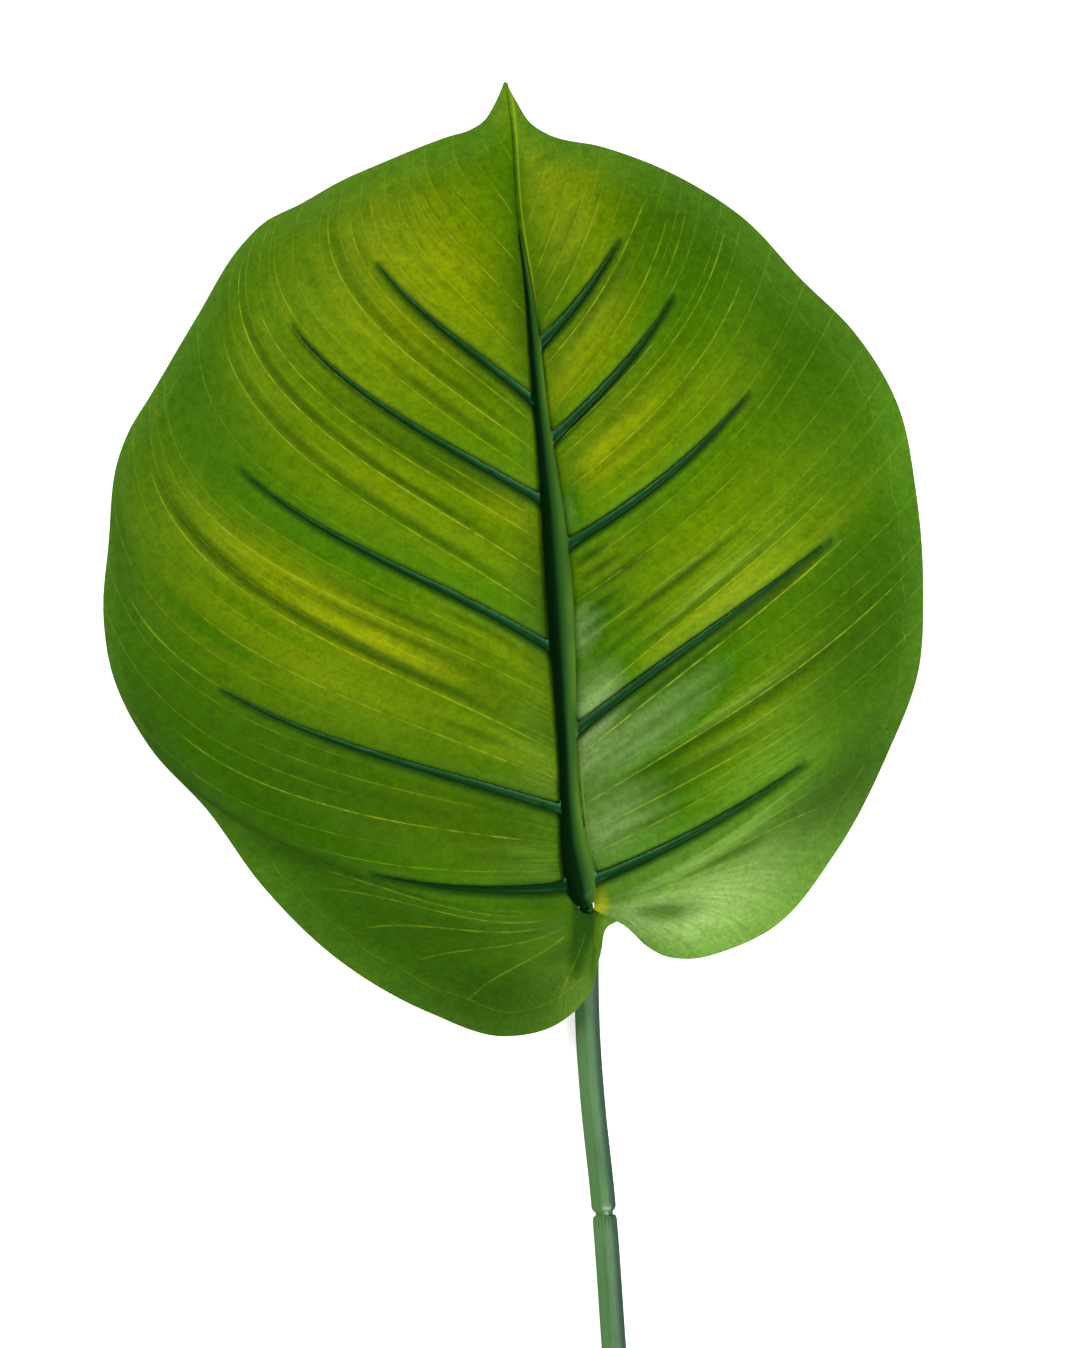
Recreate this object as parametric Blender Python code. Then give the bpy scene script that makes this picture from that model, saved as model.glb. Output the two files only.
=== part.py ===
"""An artificial pothos leaf on its plastic stem, lying face up on a surface.

Metres, +Z up. The tip of the leaf points along +Y and the cut end of the stem along -Y.
The leaf is drawn from the point where the stem comes up through the blade, which is 0, 0
until set_down moves the whole thing over its resting origin.
"""
import math

import bmesh
import bpy
import numpy as np
from mathutils import Matrix, Vector

MM = 0.001
SHARP_ANGLE = math.radians(35)

# Driving dimensions, in millimetres
GAP = 0.3
BLADE_THICKNESS = 0.8
BASE_HEIGHT = 15.5
ROD_RADIUS = 3.3
ROD_APOTHEM = 3.05
FLATS = [-90, 20, 75, 130, 205]
WIRE_RADIUS = 1.0
WIRE_START = 22.0
WIRE_INSET = 0.2
STEM_LENGTH = 159.0
JOINT_AT = 82.6
NECK_RADIUS = 1.9
NECK_TILT = math.radians(52)
NECK_LENGTH = 9.0
NECK_CLEAR = 4.2
NECK_ROOT = 2.0
HOLE_ABOVE = 5.0
HOLE_LENGTH = 9.5
SPIGOT_RADIUS = 2.35
SPIGOT_LENGTH = 8.0
JOINT_SLIT = 1.0

# The midrib's course over the blade, from the stem to the tip
MIDRIB = [(0, 0), (-2.4, 12), (-4, 25.4), (-4.8, 41.5), (-6.7, 75), (-9.1, 105.7),
          (-12.3, 133.8), (-15.3, 163.2), (-18.2, 183.3), (-20.1, 210), (-21.7, 221.3)]

# The blade's edge on each side, from the tip round to the notch by the stem
RIGHT_EDGE = [(-21.7, 221.3), (-18.7, 215.7), (-14.5, 209.3), (-10.2, 206.6), (4.5, 203.1),
              (24.6, 195.3), (42.5, 184.1), (57.8, 168), (72.3, 153.6), (83.8, 134.6),
              (88.8, 111), (90.7, 84.3), (89.4, 62.4), (81.4, 40.9), (67.4, 14.2),
              (49.2, -7), (38.5, -12), (27.8, -14.5), (20.9, -13.6), (15.5, -10.4),
              (11.5, -6.2), (8.3, -4.3)]
LEFT_EDGE = [(-21.7, 221.3), (-25.2, 213.5), (-27.3, 210.3), (-30.8, 207.9), (-37.2, 205.8),
             (-55.1, 198.6), (-65.8, 194), (-76.5, 188.1), (-86.7, 182.8), (-91.8, 177.7),
             (-104.6, 157.4), (-117.5, 135.9), (-122.6, 127.6), (-125.5, 120.4),
             (-128.4, 96.3), (-129.7, 79), (-127.4, 62.4), (-117.2, 42), (-102, 25.4),
             (-86.7, 4.5), (-65.8, -15.5), (-41.7, -29.2), (-21.7, -35.3), (-8, -32.1),
             (1.1, -23.3), (4, -12.6), (5.9, -5.6), (8.3, -4.3)]

# Lines of vein on each side. Row is 0 at the notch, 1 where the fan round the stem ends,
# and 2 at the tip, so that rows 1 to 2 are shares of the midrib. Then come the share of the
# edge where the vein ends, the heading in degrees with which it leaves the midrib and the
# heading with which it meets the edge.
RIGHT_VEINS = [(0.00, 1.000, -27, -27), (0.12, 0.965, -12, -55), (0.30, 0.910, -4, -62),
               (0.62, 0.800, 2, -22), (0.85, 0.710, 12, 20), (1.00, 0.648, 20, 37),
               (1.026, 0.625, 22, 42), (1.203, 0.464, 40, 46), (1.426, 0.301, 30, 66),
               (1.553, 0.188, 43, 85), (1.670, 0.143, 43, 69), (1.85, 0.070, 58, 82),
               (2.00, 0.000, 80, 100)]
LEFT_VEINS = [(0.00, 1.000, 333, 333), (0.14, 0.955, 300, 285), (0.36, 0.865, 256, 262),
              (0.58, 0.775, 228, 226), (0.76, 0.710, 211, 202), (0.89, 0.668, 200, 180),
              (1.00, 0.635, 190, 162), (1.026, 0.616, 187, 149), (1.113, 0.422, 161, 100),
              (1.301, 0.280, 146, 87), (1.480, 0.178, 149, 66), (1.599, 0.117, 138, 72),
              (1.80, 0.062, 122, 88), (2.00, 0.000, 106, 84)]
VEIN_BEND = 0.36

# The moulded ribs: row, and how far along its vein each one reaches
RIGHT_RIBS = [(1.026, 0.63), (1.203, 0.75), (1.426, 0.67), (1.553, 0.63), (1.670, 0.62)]
LEFT_RIBS = [(1.026, 0.52), (1.113, 0.62), (1.301, 0.68), (1.480, 0.68), (1.599, 0.65)]
RIB_HALF_WIDTH = 1.45
RIB_RISE = 1.15
RIB_TAPER = 1.15
RIB_TIP_SHARE = 0.24
# Ribs sit twice as high up to this share of the vein, where the midrib covers them
INNER_SHARE = 0.09
# Half the midrib's width at rows from the stem to where it runs out
MIDRIB_WIDTHS = [(1.0, 1.7), (1.008, 2.6), (1.025, 3.2), (1.06, 3.0), (1.12, 2.3),
                 (1.18, 2.3), (1.26, 2.9), (1.34, 3.2), (1.42, 3.0), (1.55, 2.1), (1.68, 1.6),
                 (1.74, 1.1), (1.815, 0.45)]
MIDRIB_RISE = 0.8
MIDRIB_STATIONS = 40
# Length of a vein's first stretch for its share, and height of the keel for its half width
START_STRETCH = 0.8
KEEL = 0.9
MIDRIB_SEAT = 0.37

# Heights of the blade's top face: along the midrib, and along each edge
MIDRIB_HEIGHTS = [(1.0, BASE_HEIGHT), (1.02, BASE_HEIGHT), (1.07, 16.3), (1.18, 18.6),
                  (1.45, 21.5), (1.68, 18.0), (1.86, 10.0), (2.0, 2.5)]
RIGHT_HEIGHTS = [(0.0, 2.5), (0.05, 6.0), (0.13, 7.5), (0.22, 4.0), (0.33, 2.0), (0.45, 0.75),
                 (0.55, 2.2), (0.64, 1.2), (0.72, 0.8), (0.80, 2.2), (0.88, 5.5), (0.94, 9.5),
                 (1.0, 13.5)]
LEFT_HEIGHTS = [(0.0, 2.5), (0.04, 6.0), (0.10, 8.0), (0.17, 4.0), (0.25, 4.8), (0.33, 2.0),
                (0.42, 0.75), (0.50, 2.4), (0.58, 1.2), (0.68, 0.8), (0.78, 3.0), (0.86, 6.8),
                (0.93, 10.8), (1.0, 13.5)]
# How the blade bulges between midrib and edge: height of the bulge as a share of the vein's
# length, the share in which it leaves the midrib, and how late the blade drops to its edge
RIGHT_DOME = 0.080
RIGHT_VALLEY = 0.15
LEFT_DOME = 0.055
LEFT_VALLEY = 0.09
MARGIN_CURL = 3.2
FULL_DOME_ROW = 0.25
# Height of the quilted panels between the ribs, the rows that bound the panels without a
# rib, the share in which a panel rises, where and over what share it flattens out again,
# and the vein length in millimetres from which it has its full height
QUILT = 1.5
QUILT_FIRST_ROW = 0.3
QUILT_LAST_ROWS = [1.78, 1.9, 2.0]
QUILT_RISE = 0.12
QUILT_END = 0.95
QUILT_FADE = 0.5
QUILT_LENGTH = 80.0
GROOVE_DEPTH = 0.9
GROOVE_END = 1.25
GROOVE_ROWS = 0.0105
GROOVE_START = 3.7

# Rows and columns of the blade's net
COLUMNS = [0, 0.035, 0.085, 0.16, 0.26, 0.37, 0.49, 0.61, 0.72, 0.82, 0.90, 0.96, 1]
FAN_ROWS = 16
ROW_STEP = 0.025
LAST_ROW = 1.975


def smooth(table, at):
    """Read a smooth curve through the table's points, whose first column is its place."""
    table = np.asarray(table, float)
    place, value = table[:, 0], table[:, 1:]
    step = np.diff(place)
    rise = np.diff(value, axis=0) / step[:, None]
    slope = np.vstack([rise[:1], rise[:-1], rise[-1:]])
    near = step[1:, None] / (step[:-1] + step[1:])[:, None]
    slope[1:-1] = rise[:-1] * near + rise[1:] * (1 - near)
    at = np.clip(np.asarray(at, float), place[0], place[-1])
    k = np.clip(np.searchsorted(place, at, side="right") - 1, 0, len(step) - 1)
    t = ((at - place[k]) / step[k])[..., None]
    h = step[k][..., None]
    return (value[k] * (1 + 2 * t) * (1 - t) ** 2 + slope[k] * h * t * (1 - t) ** 2
            + value[k + 1] * t * t * (3 - 2 * t) + slope[k + 1] * h * t * t * (t - 1))


def even(points, count=1500):
    """A table of share of length, x and y along the smooth curve through the points."""
    points = np.asarray(points, float)
    chord = np.r_[0, np.cumsum(np.linalg.norm(np.diff(points, axis=0), axis=1))]
    fine = smooth(np.c_[chord, points], np.linspace(0, chord[-1], count))
    length = np.r_[0, np.cumsum(np.linalg.norm(np.diff(fine, axis=0), axis=1))]
    return np.c_[length / length[-1], fine]


def read(table, share):
    """Read an even table at the given shares of its length."""
    share = np.asarray(share, float)
    return np.stack([np.interp(share, table[:, 0], table[:, k]) for k in (1, 2)], -1)


MIDRIB_LINE = even(MIDRIB)
SIDES = {
    1: {"edge": even(RIGHT_EDGE), "veins": RIGHT_VEINS, "ribs": RIGHT_RIBS,
        "heights": RIGHT_HEIGHTS, "dome": RIGHT_DOME, "valley": RIGHT_VALLEY},
    -1: {"edge": even(LEFT_EDGE), "veins": LEFT_VEINS, "ribs": LEFT_RIBS,
         "heights": LEFT_HEIGHTS, "dome": LEFT_DOME, "valley": LEFT_VALLEY},
}


def vein_point(side, row, s):
    """Plan position at share s of the vein that starts at this row."""
    leaf = SIDES[side]
    share, leave, arrive = np.moveaxis(smooth(leaf["veins"], row), -1, 0)
    start = read(MIDRIB_LINE, np.maximum(row - 1, 0))
    end = read(leaf["edge"], share)
    reach = VEIN_BEND * np.linalg.norm(end - start, axis=-1, keepdims=True)
    leave = np.radians(leave)
    arrive = np.radians(arrive)
    first = start + reach * np.stack([np.cos(leave), np.sin(leave)], -1)
    last = end - reach * np.stack([np.cos(arrive), np.sin(arrive)], -1)
    s = s[..., None]
    return (start * (1 - s) ** 3 + 3 * first * s * (1 - s) ** 2
            + 3 * last * s * s * (1 - s) + end * s ** 3)


def vein_length(side, row):
    """Straight length of the vein, from the midrib to the edge."""
    ends = vein_point(side, row, np.ones_like(row)) - vein_point(side, row, np.zeros_like(row))
    return np.linalg.norm(ends, axis=-1)


def groove_depth(side, row, s):
    """Depth of the pressed grooves that hold the ribs."""
    depth = np.zeros_like(row)
    for rib_row, reach in SIDES[side]["ribs"]:
        across = np.clip(1 - np.abs(row - rib_row) / GROOVE_ROWS, 0, 1)
        depth = np.maximum(depth, across * np.clip(GROOVE_END - s / reach, 0, 1))
    clear_of_midrib = np.clip((s * vein_length(side, row) - GROOVE_START) / GROOVE_START, 0, 1)
    return GROOVE_DEPTH * depth * clear_of_midrib


def quilting(side, row, s):
    """The panels stand up between the ribs and flatten out towards the edge."""
    rows = [rib_row for rib_row, reach in SIDES[side]["ribs"]]
    rows = [QUILT_FIRST_ROW] + rows + QUILT_LAST_ROWS
    phase = np.interp(row, rows, np.arange(len(rows)))
    fade = np.clip(s / QUILT_RISE, 0, 1) * np.clip((QUILT_END - s) / QUILT_FADE, 0, 1)
    size = np.clip(vein_length(side, row) / QUILT_LENGTH, 0, 1)
    size = size * np.interp(row, [0, 1, 1.1], [0, 0.5, 1])
    return QUILT * np.abs(np.sin(math.pi * phase)) * fade * size


def blade_point(side, row, s):
    """A point of the blade's top face, in millimetres, at this row and share of its vein."""
    row, s = np.broadcast_arrays(np.asarray(row, float), np.asarray(s, float))
    plan = vein_point(side, row, s)
    share = smooth(SIDES[side]["veins"], row)[..., 0]
    middle = smooth(MIDRIB_HEIGHTS, np.maximum(row, 1))[..., 0]
    edge = smooth(SIDES[side]["heights"], share)[..., 0]
    dome = SIDES[side]["dome"] * np.clip(row / FULL_DOME_ROW, 0, 1) * vein_length(side, row)
    dome = dome * (1 - np.exp(-s / SIDES[side]["valley"])) * (1 - s ** 3)
    height = middle + (edge - middle) * s ** MARGIN_CURL + dome
    height = height + quilting(side, row, s) - groove_depth(side, row, s)
    return np.concatenate([plan, height[..., None]], -1)


def net_rows():
    """Rows of the blade's net: the fan, the ribs with their grooves, and what lies between."""
    ribs = sorted({rib_row for side in SIDES for rib_row, reach in SIDES[side]["ribs"]})
    marks = [1.0]
    for rib_row in ribs:
        marks += [rib_row - GROOVE_ROWS, rib_row, rib_row + GROOVE_ROWS]
    marks = [mark for mark in sorted(marks) if mark >= 1.0] + [LAST_ROW]
    rows = list(np.linspace(0, 1, FAN_ROWS, endpoint=False))
    for low, high in zip(marks[:-1], marks[1:]):
        pieces = max(1, math.ceil((high - low) / ROW_STEP - 0.2))
        rows += list(np.linspace(low, high, pieces, endpoint=False))
    return np.array(rows + [LAST_ROW])


def new_material(name, colour, roughness, metallic=0.0):
    """A Principled material."""
    material = bpy.data.materials.new(name)
    material.use_nodes = True
    shader = material.node_tree.nodes["Principled BSDF"]
    shader.inputs["Base Color"].default_value = (*colour, 1)
    shader.inputs["Roughness"].default_value = roughness
    shader.inputs["Metallic"].default_value = metallic
    return material


def new_object(name, mesh_maker, material=None):
    """Link a named object whose mesh the given bmesh becomes."""
    mesh = bpy.data.meshes.new(name)
    bmesh.ops.recalc_face_normals(mesh_maker, faces=mesh_maker.faces)
    mesh_maker.to_mesh(mesh)
    mesh_maker.free()
    thing = bpy.data.objects.new(name, mesh)
    bpy.context.collection.objects.link(thing)
    if material:
        mesh.materials.append(material)
    return thing


def settle(thing):
    """Apply every modifier of the object, so that its mesh holds the result."""
    depsgraph = bpy.context.evaluated_depsgraph_get()
    mesh = bpy.data.meshes.new_from_object(thing.evaluated_get(depsgraph))
    thing.modifiers.clear()
    thing.data = mesh


def cut(thing, cutter, solver="EXACT"):
    """Take the cutter out of the object, then remove the cutter."""
    boolean = thing.modifiers.new("cut", "BOOLEAN")
    boolean.operation = "DIFFERENCE"
    boolean.solver = solver
    boolean.object = cutter
    settle(thing)
    bpy.data.objects.remove(cutter)


def loft(name, rings, material=None):
    """A closed body through equal rings of points, with a flat cap at each end."""
    maker = bmesh.new()
    rows = [[maker.verts.new(Vector(point) * MM) for point in ring] for ring in rings]
    count = len(rows[0])
    for low, high in zip(rows[:-1], rows[1:]):
        for k in range(count):
            after = (k + 1) % count
            maker.faces.new((low[k], low[after], high[after], high[k]))
    maker.faces.new(rows[0])
    maker.faces.new(rows[-1])
    return new_object(name, maker, material)


def build_blade(material):
    """The satin blade: one pressed sheet, solidified downwards from its top face."""
    maker = bmesh.new()
    rows = net_rows()
    columns = np.array(COLUMNS)
    tip = maker.verts.new(Vector(blade_point(1, 2.0, 0.0)) * MM)
    for side in SIDES:
        points = blade_point(side, rows[:, None], columns[None, :])
        grid = [[maker.verts.new(Vector(point) * MM) for point in line] for line in points]
        for low, high in zip(grid[:-1], grid[1:]):
            for k in range(len(columns) - 1):
                corners = (low[k], low[k + 1], high[k + 1], high[k])
                maker.faces.new(corners[::side])
        for k in range(len(columns) - 1):
            corners = (grid[-1][k], grid[-1][k + 1], tip)
            maker.faces.new(corners[::side])
    bmesh.ops.remove_doubles(maker, verts=maker.verts, dist=0.00001)
    bmesh.ops.dissolve_degenerate(maker, edges=maker.edges, dist=0.000001)
    bmesh.ops.triangulate(maker, faces=maker.faces)
    blade = new_object("blade", maker, material)
    if sum(face.normal.z for face in blade.data.polygons) < 0:
        blade.data.flip_normals()
    solidify = blade.modifiers.new("sheet", "SOLIDIFY")
    solidify.thickness = BLADE_THICKNESS * MM
    solidify.offset = -1
    solidify.use_even_offset = True
    settle(blade)
    return blade


def rib_rings(side, rib_row, reach):
    """Rings of a side rib: its underside follows its groove and its back is a blunt ridge."""
    stations = [s for s in COLUMNS if s < reach - 0.02] + [reach]
    rings = []
    for s in stations:
        seat = GAP if s > INNER_SHARE else 2 * GAP
        slim = RIB_TIP_SHARE + (1 - RIB_TIP_SHARE) * (1 - (s / reach) ** RIB_TAPER)
        half = RIB_HALF_WIDTH * slim
        rise = RIB_RISE * slim
        here = blade_point(side, rib_row, s)
        beside = blade_point(side, rib_row + GROOVE_ROWS, s)
        ahead = vein_point(side, np.array(rib_row), np.array(min(s + 0.01, 1.0)))
        heading = ahead - here[:2]
        heading = heading / np.linalg.norm(heading)
        spread = abs(heading[0] * (beside[1] - here[1]) - heading[1] * (beside[0] - here[0]))
        part = min(half / spread, 1.0) * GROOVE_ROWS
        ring = []
        for across, lift in ((-1, 0), (0, 0), (1, 0), (0.62, 0.75), (0, 1), (-0.62, 0.75)):
            point = blade_point(side, rib_row + across * part, s)
            floor = here[2] + lift * rise if lift else point[2]
            ring.append((point[0], point[1], floor + seat + (0.25 * rise if lift else 0)))
        rings.append(ring)
    return rings


def midrib_rings():
    """Rings of the midrib: a keel in the valley between the halves, under a ridge."""
    rings = []
    for row in np.linspace(1.0, MIDRIB_WIDTHS[-1][0], MIDRIB_STATIONS):
        half = smooth(MIDRIB_WIDTHS, row)[0]
        rise = MIDRIB_RISE * half
        ring = []
        for side, across, lift in ((-1, 1, 0), (1, 0, 0), (1, 1, 0), (1, 0.95, 0.35),
                                   (1, 0.4, 0.85), (1, 0, 1), (-1, 0.4, 0.85), (-1, 0.95, 0.35)):
            share = across * half / (START_STRETCH * float(vein_length(side, np.array(row))))
            point = blade_point(side, row, share)
            middle = blade_point(side, row, 0.0)
            top = point[2] if across > 0.9 else middle[2] + KEEL * half
            height = top + MIDRIB_SEAT + lift * rise if lift else point[2] + MIDRIB_SEAT
            ring.append((point[0], point[1], height))
        rings.append(ring)
    return rings


def neck_axis():
    """Start and heading of the neck that goes down through the blade."""
    start = blade_point(1, 1.0, 0.0)
    heading = np.array([0.03, -math.cos(NECK_TILT), -math.sin(NECK_TILT)])
    return start, heading / np.linalg.norm(heading)


def rod_along(name, radius, start, heading, length, sides=20):
    """A plain round rod that starts at a point and runs along a heading."""
    maker = bmesh.new()
    turn = Vector(heading).to_track_quat("Z", "Y").to_matrix().to_4x4()
    middle = Vector(np.asarray(start) + np.asarray(heading) * length / 2) * MM
    bmesh.ops.create_cone(maker, cap_ends=True, segments=sides, radius1=radius * MM,
                          radius2=radius * MM, depth=length * MM,
                          matrix=Matrix.Translation(middle) @ turn)
    return new_object(name, maker)


def build_rib_frame(material):
    """Midrib, ten side ribs and the neck, moulded in one."""
    frame = loft("rib_frame", midrib_rings(), material)
    parts = bpy.data.collections.new("rib parts")
    for side in SIDES:
        for rib_row, reach in SIDES[side]["ribs"]:
            parts.objects.link(loft("rib", rib_rings(side, rib_row, reach)))
    start, heading = neck_axis()
    rod = rod_along("neck", NECK_RADIUS, start - heading * NECK_ROOT, heading,
                    NECK_LENGTH + NECK_ROOT)
    parts.objects.link(rod)
    boolean = frame.modifiers.new("join", "BOOLEAN")
    boolean.operation = "UNION"
    boolean.solver = "EXACT"
    boolean.operand_type = "COLLECTION"
    boolean.collection = parts
    settle(frame)
    for thing in list(parts.objects):
        bpy.data.objects.remove(thing)
    bpy.data.collections.remove(parts)
    return frame


def stem_course():
    """Centre line of the whole stem: down behind the blade, then flat along the surface."""
    start, heading = neck_axis()
    points = [tuple(start + heading * NECK_CLEAR), tuple(start + heading * (NECK_CLEAR + 5.5))]
    low = ROD_APOTHEM
    points += [(0.2, -14.5, low + 1.3), (0.2, -21, low + 0.12), (0.3, -26, low),
               (0.5, -33, low), (1.8, -52.2, low), (4.6, -78.9, low), (7.5, -118.5, low),
               (10.2, -STEM_LENGTH, low)]
    chord = np.r_[0, np.cumsum(np.linalg.norm(np.diff(points, axis=0), axis=1))]
    return np.c_[chord, points]


def stem_frame(course, at):
    """Centre, heading, side and up directions of the stem at a length along its course."""
    here, ahead = smooth(course, np.array([at, at + 0.05]))
    if at + 0.05 > course[-1, 0]:
        here, ahead = smooth(course, np.array([at - 0.05, at]))
    heading = Vector(ahead - here).normalized()
    across = heading.cross(Vector((0, 0, 1))).normalized()
    centre = Vector(smooth(course, np.array([at]))[0])
    return centre, heading, -across, across.cross(heading)


def rod_section(angle):
    """Radius of the stem at an angle: a round rod with long flats, one of them below."""
    radius = ROD_RADIUS
    for flat in FLATS:
        turn = math.cos(angle - math.radians(flat))
        if turn > 0.5:
            radius = min(radius, ROD_APOTHEM / turn)
    return radius


SECTION_ANGLES = [math.radians(a) for a in
                  (-112, -90, -68, -45, -25, -3, 20, 43, 52, 75, 98, 107, 130, 153, 180, 205, 228)]


def stem_rings(course, stations):
    """Rings of a stem piece; a station is a length, a scale and the depth of its flutes."""
    rings = []
    for at, scale, flute in stations:
        centre, heading, across, up = stem_frame(course, at)
        ring = []
        for count, angle in enumerate(SECTION_ANGLES):
            radius = rod_section(angle) * scale
            if flute and count % 2 and math.sin(angle) > -0.5:
                radius -= flute
            ring.append(centre + across * radius * math.cos(angle) + up * radius * math.sin(angle))
        rings.append(ring)
    return rings


def round_rings(course, start, end, radius, step, sides=16):
    """Rings of a round bore or wire that follows the stem."""
    rings = []
    for at in np.linspace(start, end, max(2, math.ceil((end - start) / step) + 1)):
        centre, heading, across, up = stem_frame(course, at)
        rings.append([centre + across * radius * math.cos(turn) + up * radius * math.sin(turn)
                      for turn in np.linspace(0, 2 * math.pi, sides, endpoint=False)])
    return rings


def build_stem(course, upper_material, lower_material, wire_material):
    """Upper stem with its spigot, lower stem with its socket, and the wire inside both."""
    joint = float(np.interp(JOINT_AT, -course[:, 2], course[:, 0]))
    end = course[-1, 0]
    bends = [(at, 1, 0) for at in (0.6, 3, 5.5, 8, 10.5, 13, 15.5, 18, 20.5, 23, 27, 33)]
    runs = [(at, 1, 0) for at in np.arange(43, joint - 6, 12)]
    tail = [(joint - 1.6, 1, 0), (joint - 0.9, 0.95, 0), (joint - 0.4, 0.84, 0),
            (joint, SPIGOT_RADIUS / ROD_RADIUS, 0),
            (joint + SPIGOT_LENGTH, SPIGOT_RADIUS / ROD_RADIUS, 0)]
    upper = loft("upper_stem", stem_rings(course, [(0, 0.86, 0)] + bends + runs + tail),
                 upper_material)
    start, heading = neck_axis()
    socket = rod_along("socket", NECK_RADIUS + GAP, start + heading * (NECK_CLEAR - 1), heading,
                       NECK_LENGTH - NECK_CLEAR + 1 + GAP)
    cut(upper, socket)
    cut(upper, loft("bore", round_rings(course, WIRE_START - GAP, joint + SPIGOT_LENGTH + 1,
                                        WIRE_RADIUS + GAP, 8)))
    top = joint + JOINT_SLIT
    runs = [(at, 1, 0) for at in np.arange(top + 16, end - 6, 14)]
    lower = loft("lower_stem", stem_rings(course, [
        (top, 0.86, 0.25), (top + 0.5, 0.97, 0.3), (top + 1.2, 1, 0.25), (top + 3.6, 1, 0)]
        + runs + [(end - 0.4, 1, 0), (end, 0.94, 0)]), lower_material)
    cut(lower, loft("socket", round_rings(course, top - 1, joint + SPIGOT_LENGTH + GAP,
                                          SPIGOT_RADIUS + GAP, 4, 20)))
    cut(lower, loft("bore", round_rings(course, joint + SPIGOT_LENGTH - 1, end - 0.01,
                                        WIRE_RADIUS + GAP, 10)))
    wire = loft("wire_core", round_rings(course, WIRE_START, end - WIRE_INSET, WIRE_RADIUS, 8, 12),
                wire_material)
    return upper, lower, wire


def set_down(things):
    """Bring the middle of the whole to x = y = 0 and its lowest point to z = 0."""
    points = np.array([tuple(v.co) for thing in things for v in thing.data.vertices])
    low, high = points.min(0), points.max(0)
    shift = Vector((-(low[0] + high[0]) / 2, -(low[1] + high[1]) / 2, -low[2]))
    for thing in things:
        thing.data.transform(Matrix.Translation(shift))
    print("moved by", [round(v / MM, 3) for v in shift])


def main():
    for thing in list(bpy.data.objects):
        bpy.data.objects.remove(thing)
    satin = new_material("green satin", (0.07, 0.17, 0.01), 0.4)
    rib_plastic = new_material("dark rib plastic", (0.01, 0.07, 0.04), 0.35)
    stem_plastic = new_material("stem plastic", (0.06, 0.14, 0.05), 0.45)
    steel = new_material("steel wire", (0.45, 0.45, 0.44), 0.35, 1.0)
    course = stem_course()
    blade = build_blade(satin)
    start, heading = neck_axis()
    hole = rod_along("hole", NECK_RADIUS + GAP, start - heading * HOLE_ABOVE, heading,
                     HOLE_LENGTH)
    cut(blade, hole, "MANIFOLD")
    things = [blade, build_rib_frame(rib_plastic)]
    things += build_stem(course, stem_plastic, stem_plastic, steel)
    set_down(things)
    for thing in things:
        thing.data.shade_smooth()
        thing.data.set_sharp_from_angle(angle=SHARP_ANGLE)


main()
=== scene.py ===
# %% [markdown]
# An artificial pothos leaf: a satin blade with printed veins, a dark moulded frame of ribs
# on its face, and a wired plastic stem that plugs together in the middle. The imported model
# comes in first and stays as it is. Every piece made here stands in for one of its solids,
# so it is drawn in the same place, in metres, with +Z up and the tip of the leaf along +Y.

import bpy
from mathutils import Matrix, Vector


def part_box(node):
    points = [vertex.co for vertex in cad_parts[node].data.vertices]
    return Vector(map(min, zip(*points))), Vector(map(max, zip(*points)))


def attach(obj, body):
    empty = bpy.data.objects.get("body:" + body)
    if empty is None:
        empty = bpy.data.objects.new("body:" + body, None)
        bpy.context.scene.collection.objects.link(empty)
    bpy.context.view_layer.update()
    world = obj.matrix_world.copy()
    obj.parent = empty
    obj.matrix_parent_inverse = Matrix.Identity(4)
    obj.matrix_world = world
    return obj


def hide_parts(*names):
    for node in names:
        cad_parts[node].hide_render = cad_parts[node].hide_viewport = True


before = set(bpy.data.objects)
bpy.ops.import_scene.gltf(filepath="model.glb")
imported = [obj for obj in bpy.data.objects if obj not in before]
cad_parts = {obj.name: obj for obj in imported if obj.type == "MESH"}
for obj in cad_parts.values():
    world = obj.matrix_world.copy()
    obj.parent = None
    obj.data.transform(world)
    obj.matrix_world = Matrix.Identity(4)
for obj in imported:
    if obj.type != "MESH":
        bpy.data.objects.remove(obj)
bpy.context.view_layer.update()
print("solids:", sorted(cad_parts))

# %% Modules and units
import math

import bmesh
import bpy
import numpy as np
from mathutils import Matrix, Vector, kdtree

MM = 0.001
# The leaf is drawn from the point where the stem comes up through the blade. The solids
# were moved by this much, so that they rest on z = 0 with their middle over the origin.
SHIFT = Vector((19.117, -31.047, 0.008))


def place(point):
    """A point of the leaf's drawing, in millimetres, as a point of the model in metres."""
    return (Vector(point) + SHIFT) * MM


print("the drawing's origin in metres:", place((0, 0, 0)))

# %% [markdown]
# The leaf's drawing. A leaf has no straight lines, but it grows along its veins, and an
# artificial one is cut and pressed along them too. So the drawing is a net: its rows are
# lines of vein that run from the midrib out to the edge, and a share from 0 to 1 says how
# far along its vein a point lies. Ribs, printed veins, pleats and colour are then all
# placed by row and share, and they bend with the leaf without any further work. Drawing
# the same leaf by pushing points about by hand would give no such lines to follow.

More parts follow.
